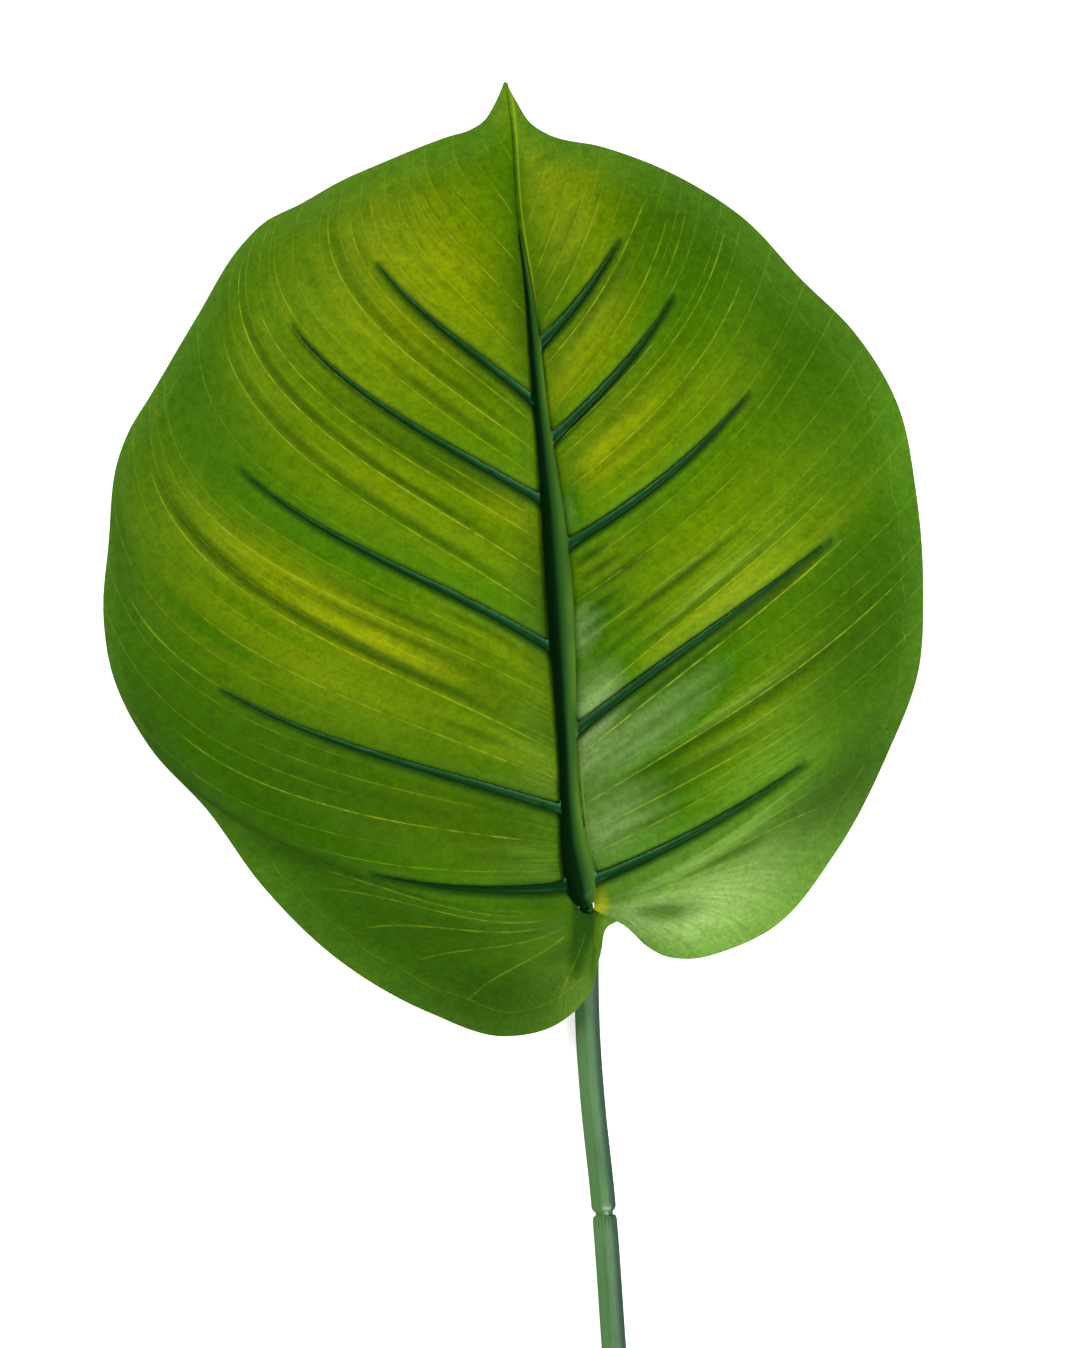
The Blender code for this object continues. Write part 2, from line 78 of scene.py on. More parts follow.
# %% Smooth curves through a few points
def smooth(table, at):
    """Read a smooth curve through the table's rows, whose first column is the place."""
    table = np.asarray(table, float)
    place_, value = table[:, 0], table[:, 1:]
    step = np.diff(place_)
    rise = np.diff(value, axis=0) / step[:, None]
    slope = np.vstack([rise[:1], rise[:-1], rise[-1:]])
    near = step[1:, None] / (step[:-1] + step[1:])[:, None]
    slope[1:-1] = rise[:-1] * near + rise[1:] * (1 - near)
    at = np.clip(np.asarray(at, float), place_[0], place_[-1])
    k = np.clip(np.searchsorted(place_, at, side="right") - 1, 0, len(step) - 1)
    t = ((at - place_[k]) / step[k])[..., None]
    h = step[k][..., None]
    return (value[k] * (1 + 2 * t) * (1 - t) ** 2 + slope[k] * h * t * (1 - t) ** 2
            + value[k + 1] * t * t * (3 - 2 * t) + slope[k + 1] * h * t * t * (t - 1))


def even(points, count=1500):
    """A table of share of length, x and y along the smooth curve through the points."""
    points = np.asarray(points, float)
    chord = np.r_[0, np.cumsum(np.linalg.norm(np.diff(points, axis=0), axis=1))]
    fine = smooth(np.c_[chord, points], np.linspace(0, chord[-1], count))
    length = np.r_[0, np.cumsum(np.linalg.norm(np.diff(fine, axis=0), axis=1))]
    return np.c_[length / length[-1], fine]


def read(table, share):
    """Read an even table at the given shares of its length."""
    share = np.asarray(share, float)
    return np.stack([np.interp(share, table[:, 0], table[:, k]) for k in (1, 2)], -1)


# %% The outline and the lines of vein, in millimetres
MIDRIB = even([(0, 0), (-2.4, 12), (-4, 25.4), (-4.8, 41.5), (-6.7, 75), (-9.1, 105.7),
               (-12.3, 133.8), (-15.3, 163.2), (-18.2, 183.3), (-20.1, 210), (-21.7, 221.3)])
RIGHT_EDGE = even([
    (-21.7, 221.3), (-18.7, 215.7), (-14.5, 209.3), (-10.2, 206.6), (4.5, 203.1),
    (24.6, 195.3), (42.5, 184.1), (57.8, 168), (72.3, 153.6), (83.8, 134.6), (88.8, 111),
    (90.7, 84.3), (89.4, 62.4), (81.4, 40.9), (67.4, 14.2), (49.2, -7), (38.5, -12),
    (27.8, -14.5), (20.9, -13.6), (15.5, -10.4), (11.5, -6.2), (8.3, -4.3)])
LEFT_EDGE = even([
    (-21.7, 221.3), (-25.2, 213.5), (-27.3, 210.3), (-30.8, 207.9), (-37.2, 205.8),
    (-55.1, 198.6), (-65.8, 194), (-76.5, 188.1), (-86.7, 182.8), (-91.8, 177.7),
    (-104.6, 157.4), (-117.5, 135.9), (-122.6, 127.6), (-125.5, 120.4), (-128.4, 96.3),
    (-129.7, 79), (-127.4, 62.4), (-117.2, 42), (-102, 25.4), (-86.7, 4.5), (-65.8, -15.5),
    (-41.7, -29.2), (-21.7, -35.3), (-8, -32.1), (1.1, -23.3), (4, -12.6), (5.9, -5.6),
    (8.3, -4.3)])
# Row, share of the edge where the vein ends, heading at the midrib and at the edge.
# Rows 0 to 1 fan out round the stem, rows 1 to 2 climb the midrib to the tip.
RIGHT_VEINS = [
    (0, 1, -27, -27), (.12, .965, -12, -55), (.3, .91, -4, -62), (.62, .8, 2, -22),
    (.85, .71, 12, 20), (1, .648, 20, 37), (1.026, .625, 22, 42), (1.203, .464, 40, 46),
    (1.426, .301, 30, 66), (1.553, .188, 43, 85), (1.67, .143, 43, 69), (1.85, .07, 58, 82),
    (2, 0, 80, 100)]
LEFT_VEINS = [
    (0, 1, 333, 333), (.14, .955, 300, 285), (.36, .865, 256, 262), (.58, .775, 228, 226),
    (.76, .71, 211, 202), (.89, .668, 200, 180), (1, .635, 190, 162), (1.026, .616, 187, 149),
    (1.113, .422, 161, 100), (1.301, .28, 146, 87), (1.48, .178, 149, 66), (1.599, .117, 138, 72),
    (1.8, .062, 122, 88), (2, 0, 106, 84)]
VEIN_BEND = 0.36
# Row of each moulded side rib, and the share of its vein that it reaches
RIGHT_RIBS = [(1.026, .63), (1.203, .75), (1.426, .67), (1.553, .63), (1.67, .62)]
LEFT_RIBS = [(1.026, .52), (1.113, .62), (1.301, .68), (1.48, .68), (1.599, .65)]
print("points on the veins of the net:", len(LEFT_VEINS) + len(RIGHT_VEINS))

# %% Heights of the blade's face, in millimetres
MIDRIB_HEIGHTS = [
    (1, 15.5), (1.02, 15.5), (1.07, 16.3), (1.18, 18.6), (1.45, 21.5), (1.68, 18), (1.86, 10),
    (2, 2.5)]
RIGHT_HEIGHTS = [
    (0, 2.5), (.05, 6), (.13, 7.5), (.22, 4), (.33, 2), (.45, .75), (.55, 2.2), (.64, 1.2),
    (.72, .8), (.8, 2.2), (.88, 5.5), (.94, 9.5), (1, 13.5)]
LEFT_HEIGHTS = [
    (0, 2.5), (.04, 6), (.1, 8), (.17, 4), (.25, 4.8), (.33, 2), (.42, .75), (.5, 2.4), (.58, 1.2),
    (.68, .8), (.78, 3), (.86, 6.8), (.93, 10.8), (1, 13.5)]
# Power of the share by which the edge takes over from the midrib, and height of the quilting
MARGIN_CURL, QUILT = 3.2, 1.5
# Depth of the ribs' grooves in mm, half width in rows, start in mm, and where in shares of
# the rib they have run out
GROOVE_DEPTH, GROOVE_ROWS, GROOVE_START, GROOVE_STOP = 0.9, 0.0105, 3.7, 1.25
# Rows under the lowest rib and over the highest that hold the quilting down, and how long
# a vein is in mm where it has its full height
QUILT_LOW, QUILT_HIGH, QUILT_LENGTH = 0.3, [1.78, 1.9, 2.0], 80
# Shares over which it rises from the midrib and sinks again before the edge, and rows of
# the fan over which the domes rise
QUILT_RISE, QUILT_END, QUILT_SINK, DOME_ROWS = 0.12, 0.95, 0.5, 0.25
SIDES = {1: {"edge": RIGHT_EDGE, "veins": RIGHT_VEINS, "ribs": RIGHT_RIBS,
             "heights": RIGHT_HEIGHTS, "dome": 0.080, "valley": 0.15},
         -1: {"edge": LEFT_EDGE, "veins": LEFT_VEINS, "ribs": LEFT_RIBS,
              "heights": LEFT_HEIGHTS, "dome": 0.055, "valley": 0.09}}
print("highest point of the midrib in mm:", max(height for row, height in MIDRIB_HEIGHTS))


# %% Points of the net
def vein_point(side, row, s):
    """Plan position at share s of the vein that starts at this row."""
    leaf = SIDES[side]
    share, leave, arrive = np.moveaxis(smooth(leaf["veins"], row), -1, 0)
    start = read(MIDRIB, np.maximum(row - 1, 0))
    end = read(leaf["edge"], share)
    reach = VEIN_BEND * np.linalg.norm(end - start, axis=-1, keepdims=True)
    leave, arrive = np.radians(leave), np.radians(arrive)
    first = start + reach * np.stack([np.cos(leave), np.sin(leave)], -1)
    last = end - reach * np.stack([np.cos(arrive), np.sin(arrive)], -1)
    s = s[..., None]
    return (start * (1 - s) ** 3 + 3 * first * s * (1 - s) ** 2
            + 3 * last * s * s * (1 - s) + end * s ** 3)


def vein_length(side, row):
    """Straight length of the vein, from the midrib to the edge."""
    ends = vein_point(side, row, np.ones_like(row)) - vein_point(side, row, np.zeros_like(row))
    return np.linalg.norm(ends, axis=-1)


def groove_depth(side, row, s):
    """Depth of the pressed grooves that hold the ribs. They run a little past each rib."""
    depth = np.zeros_like(row)
    for rib_row, reach in SIDES[side]["ribs"]:
        across = np.clip(1 - np.abs(row - rib_row) / GROOVE_ROWS, 0, 1)
        depth = np.maximum(depth, across * np.clip(GROOVE_STOP - s / reach, 0, 1))
    clear = np.clip((s * vein_length(side, row) - GROOVE_START) / GROOVE_START, 0, 1)
    return GROOVE_DEPTH * depth * clear


def quilting(side, row, s):
    """The panels stand up between the ribs and flatten out towards the edge."""
    rows = [QUILT_LOW] + [rib_row for rib_row, reach in SIDES[side]["ribs"]] + QUILT_HIGH
    phase = np.interp(row, rows, np.arange(len(rows)))
    fade = np.clip(s / QUILT_RISE, 0, 1) * np.clip((QUILT_END - s) / QUILT_SINK, 0, 1)
    size = np.clip(vein_length(side, row) / QUILT_LENGTH, 0, 1)
    size = size * np.interp(row, [0, 1, 1.1], [0, 0.5, 1])
    return QUILT * np.abs(np.sin(math.pi * phase)) * fade * size


def face_point(side, row, s):
    """A point of the blade's face, in millimetres, at this row and share of its vein."""
    row, s = np.broadcast_arrays(np.asarray(row, float), np.asarray(s, float))
    plan = vein_point(side, row, s)
    share = smooth(SIDES[side]["veins"], row)[..., 0]
    middle = smooth(MIDRIB_HEIGHTS, np.maximum(row, 1))[..., 0]
    edge = smooth(SIDES[side]["heights"], share)[..., 0]
    dome = SIDES[side]["dome"] * np.clip(row / DOME_ROWS, 0, 1) * vein_length(side, row)
    dome = dome * (1 - np.exp(-s / SIDES[side]["valley"])) * (1 - s ** 3)
    height = middle + (edge - middle) * s ** MARGIN_CURL + dome
    height = height + quilting(side, row, s) - groove_depth(side, row, s)
    return np.concatenate([plan, height[..., None]], -1)


tip = face_point(1, 2.0, 0.0)
print("tip of the drawing in mm:", np.round(tip, 1), "as placed:", place(tip))

# %% [markdown]
# What is printed and pressed on the satin. The cloth is printed with fine yellow-green
# veins, three to five between each two ribs, and pressed into shallow pleats beside some of
# them. Each vein keeps almost to one row of the net, so a table of rows is enough: the
# row at the midrib, the row at the edge, the shares where its print starts and ends, and
# how strong it is. The vertices then carry a counter that passes a whole number on each
# vein, and the shader draws a crisp line there, far finer than the mesh itself.

# %% The printed veins and the pleats
RIGHT_PRINT = [
    (.3, .3, .2, .8, .35), (.5, .57, .2, .85, .5), (.66, .68, .15, .8, .35),
    (.8, .8, .12, .85, .45), (.93, .93, .1, .85, .4), (1.055, 1.062, .03, .45, .7),
    (1.08, 1.076, .03, .6, .7), (1.113, 1.121, .02, .97, .9), (1.145, 1.15, .3, .9, .3),
    (1.17, 1.2, 0, .8, 1.2), (1.222, 1.262, .05, .8, .8), (1.254, 1.29, .2, .8, .4),
    (1.3, 1.312, .03, .6, .5), (1.354, 1.375, .02, .6, .7), (1.392, 1.412, .1, .85, .5),
    (1.452, 1.455, .08, .7, .5), (1.486, 1.494, .04, .85, .9), (1.526, 1.524, .03, .95, .9),
    (1.545, 1.539, .02, .55, .7), (1.563, 1.58, .6, .92, .8), (1.582, 1.61, .03, .85, .9),
    (1.64, 1.664, .03, .85, 1), (1.686, 1.765, .05, .8, .9), (1.716, 1.8, .04, .7, .8),
    (1.745, 1.85, .03, .6, .8), (1.8, 1.9, .05, .6, .6), (1.88, 1.95, .05, .6, .5)]
LEFT_PRINT = [
    (.24, .24, .2, .75, .3), (.4, .4, .15, .85, .45), (.52, .54, .15, .8, .4),
    (.66, .66, .15, .85, .5), (.8, .8, .12, .85, .5), (.92, .9, .15, .8, .4),
    (1.045, 1.048, .05, .6, .5), (1.073, 1.084, .05, .8, .8), (1.094, 1.098, .15, .6, .4),
    (1.118, 1.11, .58, .9, .8), (1.142, 1.152, .03, .7, .7), (1.178, 1.194, .02, .9, 1),
    (1.207, 1.213, .15, .7, .4), (1.24, 1.222, .03, .8, .8), (1.27, 1.262, .1, .7, .5),
    (1.335, 1.392, .03, .85, .8), (1.383, 1.436, .02, .95, 1.2), (1.428, 1.462, .03, .8, .9),
    (1.452, 1.478, 0, .35, .7), (1.493, 1.484, .6, .92, .9), (1.503, 1.54, .03, .55, .7),
    (1.536, 1.56, .03, .92, 1), (1.57, 1.59, .02, .85, .9), (1.614, 1.622, .4, .9, .7),
    (1.64, 1.68, .08, .85, .7), (1.672, 1.72, .2, .8, .5), (1.7, 1.73, .03, .8, .8),
    (1.757, 1.79, .04, .7, .7), (1.82, 1.87, .04, .6, .7), (1.89, 1.93, .06, .6, .5)]
# Row at the midrib and at the edge, depth in mm, half width in rows, shares of start and end
RIGHT_PLEATS = [
    (1.11, 1.118, -.42, .008, .02, .9), (1.094, 1.088, -.34, .007, .04, .6),
    (1.078, 1.074, -.24, .006, .04, .45), (1.06, 1.062, -.22, .006, .04, .3),
    (1.128, 1.134, .25, .008, .05, .6), (1.15, 1.158, -.2, .006, .03, .5),
    (1.288, 1.304, -.42, .009, .02, .55), (1.266, 1.282, -.3, .007, .02, .3),
    (1.31, 1.33, -.28, .007, .02, .22), (1.332, 1.35, -.4, .007, .02, .2),
    (1.354, 1.372, -.4, .007, .02, .3), (1.376, 1.392, -.36, .007, .02, .2),
    (1.398, 1.41, -.45, .006, .02, .16), (1.178, 1.206, -.35, .006, .05, .8),
    (1.235, 1.268, -.25, .007, .05, .65), (1.48, 1.488, -.18, .006, .05, .7),
    (1.519, 1.517, -.18, .006, .05, .8), (1.5, 1.506, .25, .008, .1, .6),
    (1.634, 1.656, -.18, .008, .05, .8), (.56, .62, .4, .07, .35, .75),
    (.74, .72, -.45, .09, .3, .8), (.3, .36, -.45, .08, .25, .7)]
LEFT_PLEATS = [
    (1.188, 1.204, -.5, .006, .03, .9), (1.15, 1.16, .45, .01, .4, .75),
    (1.23, 1.212, -.3, .006, .03, .6), (1.254, 1.24, -.35, .006, .03, .55),
    (1.28, 1.275, -.3, .006, .02, .3), (1.16, 1.15, -.3, .006, .02, .3),
    (1.345, 1.402, -.3, .007, .03, .8), (1.392, 1.445, -.3, .006, .03, .85),
    (1.438, 1.47, -.35, .006, .03, .6), (1.462, 1.48, -.35, .005, .02, .35),
    (1.515, 1.545, -.3, .006, .03, .5), (1.546, 1.57, -.25, .006, .05, .85),
    (1.58, 1.6, -.2, .005, .05, .7), (1.085, 1.094, -.35, .006, .03, .7),
    (1.1, 1.104, -.25, .004, .03, .4), (1.06, 1.064, -.3, .005, .03, .35),
    (.62, .64, -.4, .08, .2, .8), (.45, .45, .35, .07, .25, .75), (.25, .26, -.35, .06, .3, .8)]
print("printed veins:", len(RIGHT_PRINT) + len(LEFT_PRINT),
      "pleats:", len(RIGHT_PLEATS) + len(LEFT_PLEATS))

# %% Pleats, painted shade beside the ribs and the veins' counter
# Half width of a side rib in mm, how much of it is left at the tip, and the power of its
# taper. The painted shade beside it lies this much off it, towards the base.
RIB_HALF_WIDTH, RIB_TIP, RIB_TAPER = 1.45, 0.24, 1.15
RIB_SHADE = np.array([0.0, -0.4])
# Painted shadow down the valley below the foot of the midrib: its far end and half width in mm
FOOT_SHADOW_END, FOOT_SHADOW_HALF_WIDTH = np.array([-2.5, -17.0]), 3.2
# Each printed vein has a crease of this depth in mm and half width in rows, this far off it
CREASE, CREASE_HALF, CREASE_OFF, CREASE_SOFT = 0.10, 0.005, 0.004, 0.15
# A pleat ends softly over this share of its vein, or this part of its length if shorter
PLEAT_SOFT, SHORT_SOFT = 0.2, 0.4
# Beside the midrib the satin is held down, up to this share and over this one
HELD, HELD_SOFT = 0.02, 0.05


def rib_half_width(share):
    """Half width of a side rib in millimetres, at a share of its own length."""
    return RIB_HALF_WIDTH * (RIB_TIP + (1 - RIB_TIP) * (1 - share ** RIB_TAPER))


def window(s, start, end, soft=0.08):
    """One between two shares, with soft ends."""
    return np.clip((s - start) / soft, 0, 1) * np.clip((end - s) / soft, 0, 1)


def pleats(side, row, s):
    """Height of the pressed pleats, in millimetres."""
    height = np.zeros(np.broadcast(row, s).shape)
    for at, away, depth, half, start, end in RIGHT_PLEATS if side > 0 else LEFT_PLEATS:
        off = (row - at - (away - at) * s) / half
        soft = min(PLEAT_SOFT, SHORT_SOFT * (end - start))
        height += depth * np.exp(-off * off) * window(s, start, end, soft)
    for at, away, start, end, strong in RIGHT_PRINT if side > 0 else LEFT_PRINT:
        off = (row - at - (away - at) * s - CREASE_OFF) / CREASE_HALF
        height -= CREASE * strong * np.exp(-off * off) * window(s, start, end, CREASE_SOFT)
    return height * np.clip((s - HELD) / HELD_SOFT, 0, 1)


def rib_distance(side, plan):
    """Distance in millimetres from each point of the plan to the flank of a side rib."""
    # The side ribs' courses move by RIB_SHADE, and the foot's painted shadow is one more course
    nearest = np.full(plan.shape[:2], 99.0)
    for rib_row, reach in SIDES[side]["ribs"]:
        share = np.linspace(0, 1, 160)
        course = vein_point(side, np.full(share.shape, rib_row), share * reach)
        away = np.linalg.norm(plan[:, :, None] - course - RIB_SHADE, axis=-1)
        nearest = np.minimum(nearest, (away - rib_half_width(share)).min(-1))
    share = np.linspace(0, 1, 40)
    away = np.linalg.norm(plan[:, :, None] - np.outer(share, FOOT_SHADOW_END), axis=-1)
    return np.minimum(nearest, (away - FOOT_SHADOW_HALF_WIDTH * (1 - share)).min(-1))


def print_counter(side, row, s):
    """The counter that is whole on each printed vein, and how strongly that vein prints."""
    table = RIGHT_PRINT if side > 0 else LEFT_PRINT
    counter, ink_and_painted_shade = np.zeros(row.shape), np.zeros(row.shape)
    for column in range(row.shape[1]):
        share = s[0, column]
        veins = [at + (away - at) * share for at, away, start, end, strong in table]
        counter[:, column] = np.interp(row[:, column], [-0.3] + veins + [2.3],
                                       np.arange(len(veins) + 2))
        strength = [0] + [strong * window(share, start, end) for at, away, start, end, strong
                          in table] + [0]
        ink_and_painted_shade[:, column] = np.array(strength)[np.rint(counter[:, column]).astype(int)]
    return counter, ink_and_painted_shade


print("half width of a rib's tip in mm:", round(rib_half_width(1), 2))

# %% Printed patches, painted sheen and painted shade
# Side, row, share, radius in rows, radius in shares, yellow, shade (print and painted shade)
# Where the yellow is below zero, a pale painted sheen is laid on instead of yellow print.
PATCHES = [
    (-1, 1.64, .5, .17, .42, .75, 0), (-1, 1.52, .55, .1, .4, .45, 0),
    (-1, 1.43, .12, .07, .18, .55, 0), (-1, 1.4, .4, .07, .4, .5, 0),
    (-1, 1.21, .42, .04, .34, .95, 0), (-1, 1.25, .15, .05, .2, .45, 0),
    (-1, 1.16, .12, .03, .14, .4, 0), (-1, 1.08, .2, .04, .2, .2, 0),
    (-1, .25, .35, .24, .34, 0, 1), (-1, .75, .3, .3, .3, 0, .6), (-1, 1.03, .1, .05, .12, 0, .8),
    (-1, 1.08, .45, .05, .5, 0, .6), (-1, 1.35, .04, .12, .07, 0, .7),
    (-1, 1.2, .04, .04, .09, 0, .6), (-1, 1.12, .06, .05, .09, 0, .6),
    (-1, 1.1, .6, .06, .2, 0, .3), (-1, 1.08, .14, .06, .2, 0, .65),
    (-1, 1.21, .14, .035, .14, 0, .5), (-1, .3, .7, .4, .5, 0, .92),
    (1, 1.15, .72, .06, .25, 0, .3), (-1, 1.7, .05, .12, .12, 0, .5),
    (-1, 1.165, .42, .045, .45, .45, 0), (-1, 1.97, .45, .05, .6, .45, 0),
    (1, 1.97, .45, .05, .6, .45, 0), (1, .32, .6, .4, .58, -.68, 0),
    (1, 1.2, .06, .06, .1, -.75, 0), (1, 1.32, .05, .04, .07, -.6, 0),
    (1, 1.15, .16, .03, .28, -.55, 0), (1, 1.08, .1, .04, .14, -.5, 0),
    (-1, 1.143, .62, .005, .15, -.26, 0), (1, .9, .25, .1, .3, -.4, 0),
    (-1, 1.455, .3, .018, .3, 0, .55), (-1, 1.57, .3, .018, .3, 0, .35),
    (-1, 1.585, .22, .03, .15, 0, .45), (-1, .6, .55, .35, .6, 0, .75),
    (-1, .95, .6, .12, .5, 0, .7), (-1, .6, .22, .45, .25, 0, .8), (1, 1.8, .5, .14, .4, .65, 0),
    (1, 1.61, .22, .05, .3, .7, 0), (1, 1.49, .22, .05, .3, .7, 0), (1, 1.3, .4, .1, .34, .4, 0),
    (1, 1.225, .5, .03, .34, .6, 0), (1, 1.36, .1, .05, .15, .45, 0),
    (1, 1.12, .45, .06, .3, .3, 0), (1, 1.45, .55, .05, .2, .35, 0),
    (1, 1.58, .8, .12, .25, 0, .25), (1, 1.4, .85, .12, .22, 0, .3), (1, 1.1, .8, .1, .25, 0, .6),
    (1, .85, .85, .22, .3, 0, .85), (1, 1.187, .25, .015, .25, 0, .45),
    (1, 1.47, .05, .04, .05, -.4, 0)]
# Painted shade in the pleats: shade for each millimetre of depth, and the most there is
PLEAT_SHADE, MOST_PLEAT_SHADE = 2.0, 0.8


def patch_print_and_light(side, row, s):
    """How yellow a place is, with painted sheen below zero, and how dark from print and painted
    shade.
    """
    yellow, print_and_painted_shade, sheen_weight = np.zeros(row.shape), np.zeros(row.shape), np.zeros(row.shape)
    for half, at, share, high, wide, yellow_and_sheen, dark in PATCHES:
        if half == side:
            soft = np.exp(-((row - at) / high) ** 2 - ((s - share) / wide) ** 2)
            yellow = np.maximum(yellow, yellow_and_sheen * soft)
            print_and_painted_shade = np.maximum(print_and_painted_shade, dark * soft)
            sheen_weight = np.maximum(sheen_weight, -yellow_and_sheen * soft)
    crease_shade = np.clip(-pleats(side, row, s) * PLEAT_SHADE, 0, MOST_PLEAT_SHADE)
    return yellow * (1 - sheen_weight) - sheen_weight, np.maximum(print_and_painted_shade, crease_shade)


print("airbrushed patches:", len(PATCHES))

# %% [markdown]
# The blade. On the real leaf it is one layer of stiffened satin, cut out and pressed warm
# over a form. A cloth simulation would lose the pressed ribs and pleats, and sculpting by
# hand would not repeat. A flat grid whose points are moved on to the drawing's net keeps
# neat rows along every vein, so it is built as one grid for each half, joined down the
# middle, given its thickness, and bored through for the neck of the stem.

# %% Grid of one half, with its print
NEAR_NOTHING = 1e-6


def half_blade(side, rows, columns):
    """One half of the blade's face as a mesh, with its leaf, vein and print layers."""
    maker = bmesh.new()
    bmesh.ops.create_grid(maker, x_segments=len(columns) - 1, y_segments=len(rows) - 1,
                          size=0.5)
    mesh = bpy.data.meshes.new("half blade")
    maker.to_mesh(mesh)
    maker.free()
    flat = np.array([vertex.co[:2] for vertex in mesh.vertices]) + 0.5
    across = np.rint(flat[:, 0] * (len(columns) - 1)).astype(int)
    along = np.rint(flat[:, 1] * (len(rows) - 1)).astype(int)
    row, s = np.broadcast_arrays(rows[:, None], columns[None, :])
    points = face_point(side, row, s)
    points[..., 2] += pleats(side, row, s)
    counter, ink_and_painted_shade = print_counter(side, row, s)
    step = np.gradient(points[..., :2], axis=0)
    run = np.gradient(points[..., :2], axis=1)
    run = run / np.maximum(np.linalg.norm(run, axis=-1, keepdims=True), NEAR_NOTHING / 1000)
    gap = np.abs(step[..., 0] * run[..., 1] - step[..., 1] * run[..., 0])
    spacing = gap / np.maximum(np.gradient(counter, axis=0), NEAR_NOTHING)
    to_edge = (1 - s) * vein_length(side, row)
    to_rib = rib_distance(side, points[..., :2])
    to_midrib = s * vein_length(side, row)
    for vertex, j, i in zip(mesh.vertices, along, across):
        vertex.co = place(points[j, i])
    corners = np.array([loop.vertex_index for loop in mesh.loops])
    layers = {"leaf": (side * s, row), "veins": (counter, spacing), "print": (ink_and_painted_shade, to_edge),
              "ribs": (to_rib, to_midrib), "patches_and_painted_light": patch_print_and_light(side, row, s)}
    for name, pair in layers.items():
        layer = mesh.uv_layers.new(name=name)
        values = np.stack([part[along, across] for part in pair], -1)[corners]
        layer.data.foreach_set("uv", values.astype(np.float32).ravel())
    return mesh


# %% Join the halves and give them their thickness
FAN_STEPS, MIDRIB_STEPS, SHARE_STEPS, CROWDED = 100, 270, 54, 1.15
SATIN_THICKNESS, SEAM = 0.8, 0.002


def finished_mesh(piece):
    """Apply the piece's modifiers, so that its mesh holds the result."""
    depsgraph = bpy.context.evaluated_depsgraph_get()
    mesh = bpy.data.meshes.new_from_object(piece.evaluated_get(depsgraph))
    piece.modifiers.clear()
    piece.data = mesh


def triangles(piece):
    """How many triangles the piece's mesh makes."""
    return sum(len(face.vertices) - 2 for face in piece.data.polygons)


rows = np.r_[np.linspace(0, 1, FAN_STEPS, endpoint=False), np.linspace(1, 2, MIDRIB_STEPS)]
columns = np.linspace(0, 1, SHARE_STEPS + 1) ** CROWDED
maker = bmesh.new()
for side in SIDES:
    maker.from_mesh(half_blade(side, rows, columns))
bmesh.ops.remove_doubles(maker, verts=maker.verts, dist=SEAM * MM)
bmesh.ops.recalc_face_normals(maker, faces=maker.faces)
if sum(face.normal.z * face.calc_area() for face in maker.faces) < 0:
    bmesh.ops.reverse_faces(maker, faces=maker.faces)
face_mesh = bpy.data.meshes.new("satin_blade")
maker.to_mesh(face_mesh)
maker.free()
blade = bpy.data.objects.new("satin_blade", face_mesh)
bpy.context.scene.collection.objects.link(blade)
sheet = blade.modifiers.new("thickness", "SOLIDIFY")
sheet.thickness = SATIN_THICKNESS * MM
sheet.offset = -1
sheet.use_even_offset = False
sheet.material_offset = 1
sheet.material_offset_rim = 2
print("blade's face:", len(face_mesh.polygons), "faces")

# %% [markdown]
# The neck of the rib frame goes down through the blade. A slanting cylinder cut out of the
# satin leaves the 0.3 mm that the neck has all round, as the solids do.

# %% Bore the blade for the neck
NECK_RADIUS, NECK_LENGTH, NECK_CLEAR, GAP = 1.9, 9.0, 4.2, 0.3
DRILL_UP, DRILL_LENGTH = 5, 9.5
NECK_TILT, NECK_SIDES, BORE_SHARP = math.radians(52), 40, 50
neck_start = face_point(1, 1.0, 0.0)
neck_heading = np.array([0.03, -math.cos(NECK_TILT), -math.sin(NECK_TILT)])
neck_heading = neck_heading / np.linalg.norm(neck_heading)


def rod(maker, radius, start, heading, length, sides):
    """Add a round rod to the bmesh, from a point along a heading."""
    turn = Vector(heading).to_track_quat("Z", "Y").to_matrix().to_4x4()
    middle = place(np.asarray(start) + np.asarray(heading) * length / 2)
    return bmesh.ops.create_cone(maker, cap_ends=True, segments=sides, radius1=radius * MM,
                                 radius2=radius * MM, depth=length * MM,
                                 matrix=Matrix.Translation(middle) @ turn)


def new_piece(name, maker):
    """Make the bmesh an object of that name in the scene."""
    mesh = bpy.data.meshes.new(name)
    maker.to_mesh(mesh)
    maker.free()
    piece = bpy.data.objects.new(name, mesh)
    bpy.context.scene.collection.objects.link(piece)
    return piece


def new_material(name):
    """A material of that name, with its nodes switched on."""
    material = bpy.data.materials.new(name)
    material.use_nodes = True
    return material


for name in ("face", "back", "edge"):
    blade.data.materials.append(new_material("satin " + name))
maker = bmesh.new()
rod(maker, NECK_RADIUS + GAP, neck_start - neck_heading * DRILL_UP, neck_heading, DRILL_LENGTH,
    NECK_SIDES)
drill = new_piece("drill", maker)
finished_mesh(blade)
hole = blade.modifiers.new("bore", "BOOLEAN")
hole.operation = "DIFFERENCE"
hole.solver = "MANIFOLD"
hole.object = drill
finished_mesh(blade)
bpy.data.objects.remove(drill)
blade.data.shade_smooth()
blade.data.set_sharp_from_angle(angle=math.radians(BORE_SHARP))
print("satin_blade:", triangles(blade), "triangles, layers",
      [layer.name for layer in blade.data.uv_layers])

# %% [markdown]
# The rib frame. The real one is injection moulded in one piece: a thick midrib, ten side
# ribs that taper to nothing, and a short neck that plugs into the stem. Each rib starts as
# a circle of points that is pulled along its vein ring by ring, so its underside can follow
# the groove in the blade. The parts overlap where they meet. Remeshing the lot into one
# skin of small voxels and smoothing it gives the soft webs that moulded plastic has in
# its corners, which a plain union would leave sharp. The thinnest rib ends break into
# crumbs there, and these are taken off.

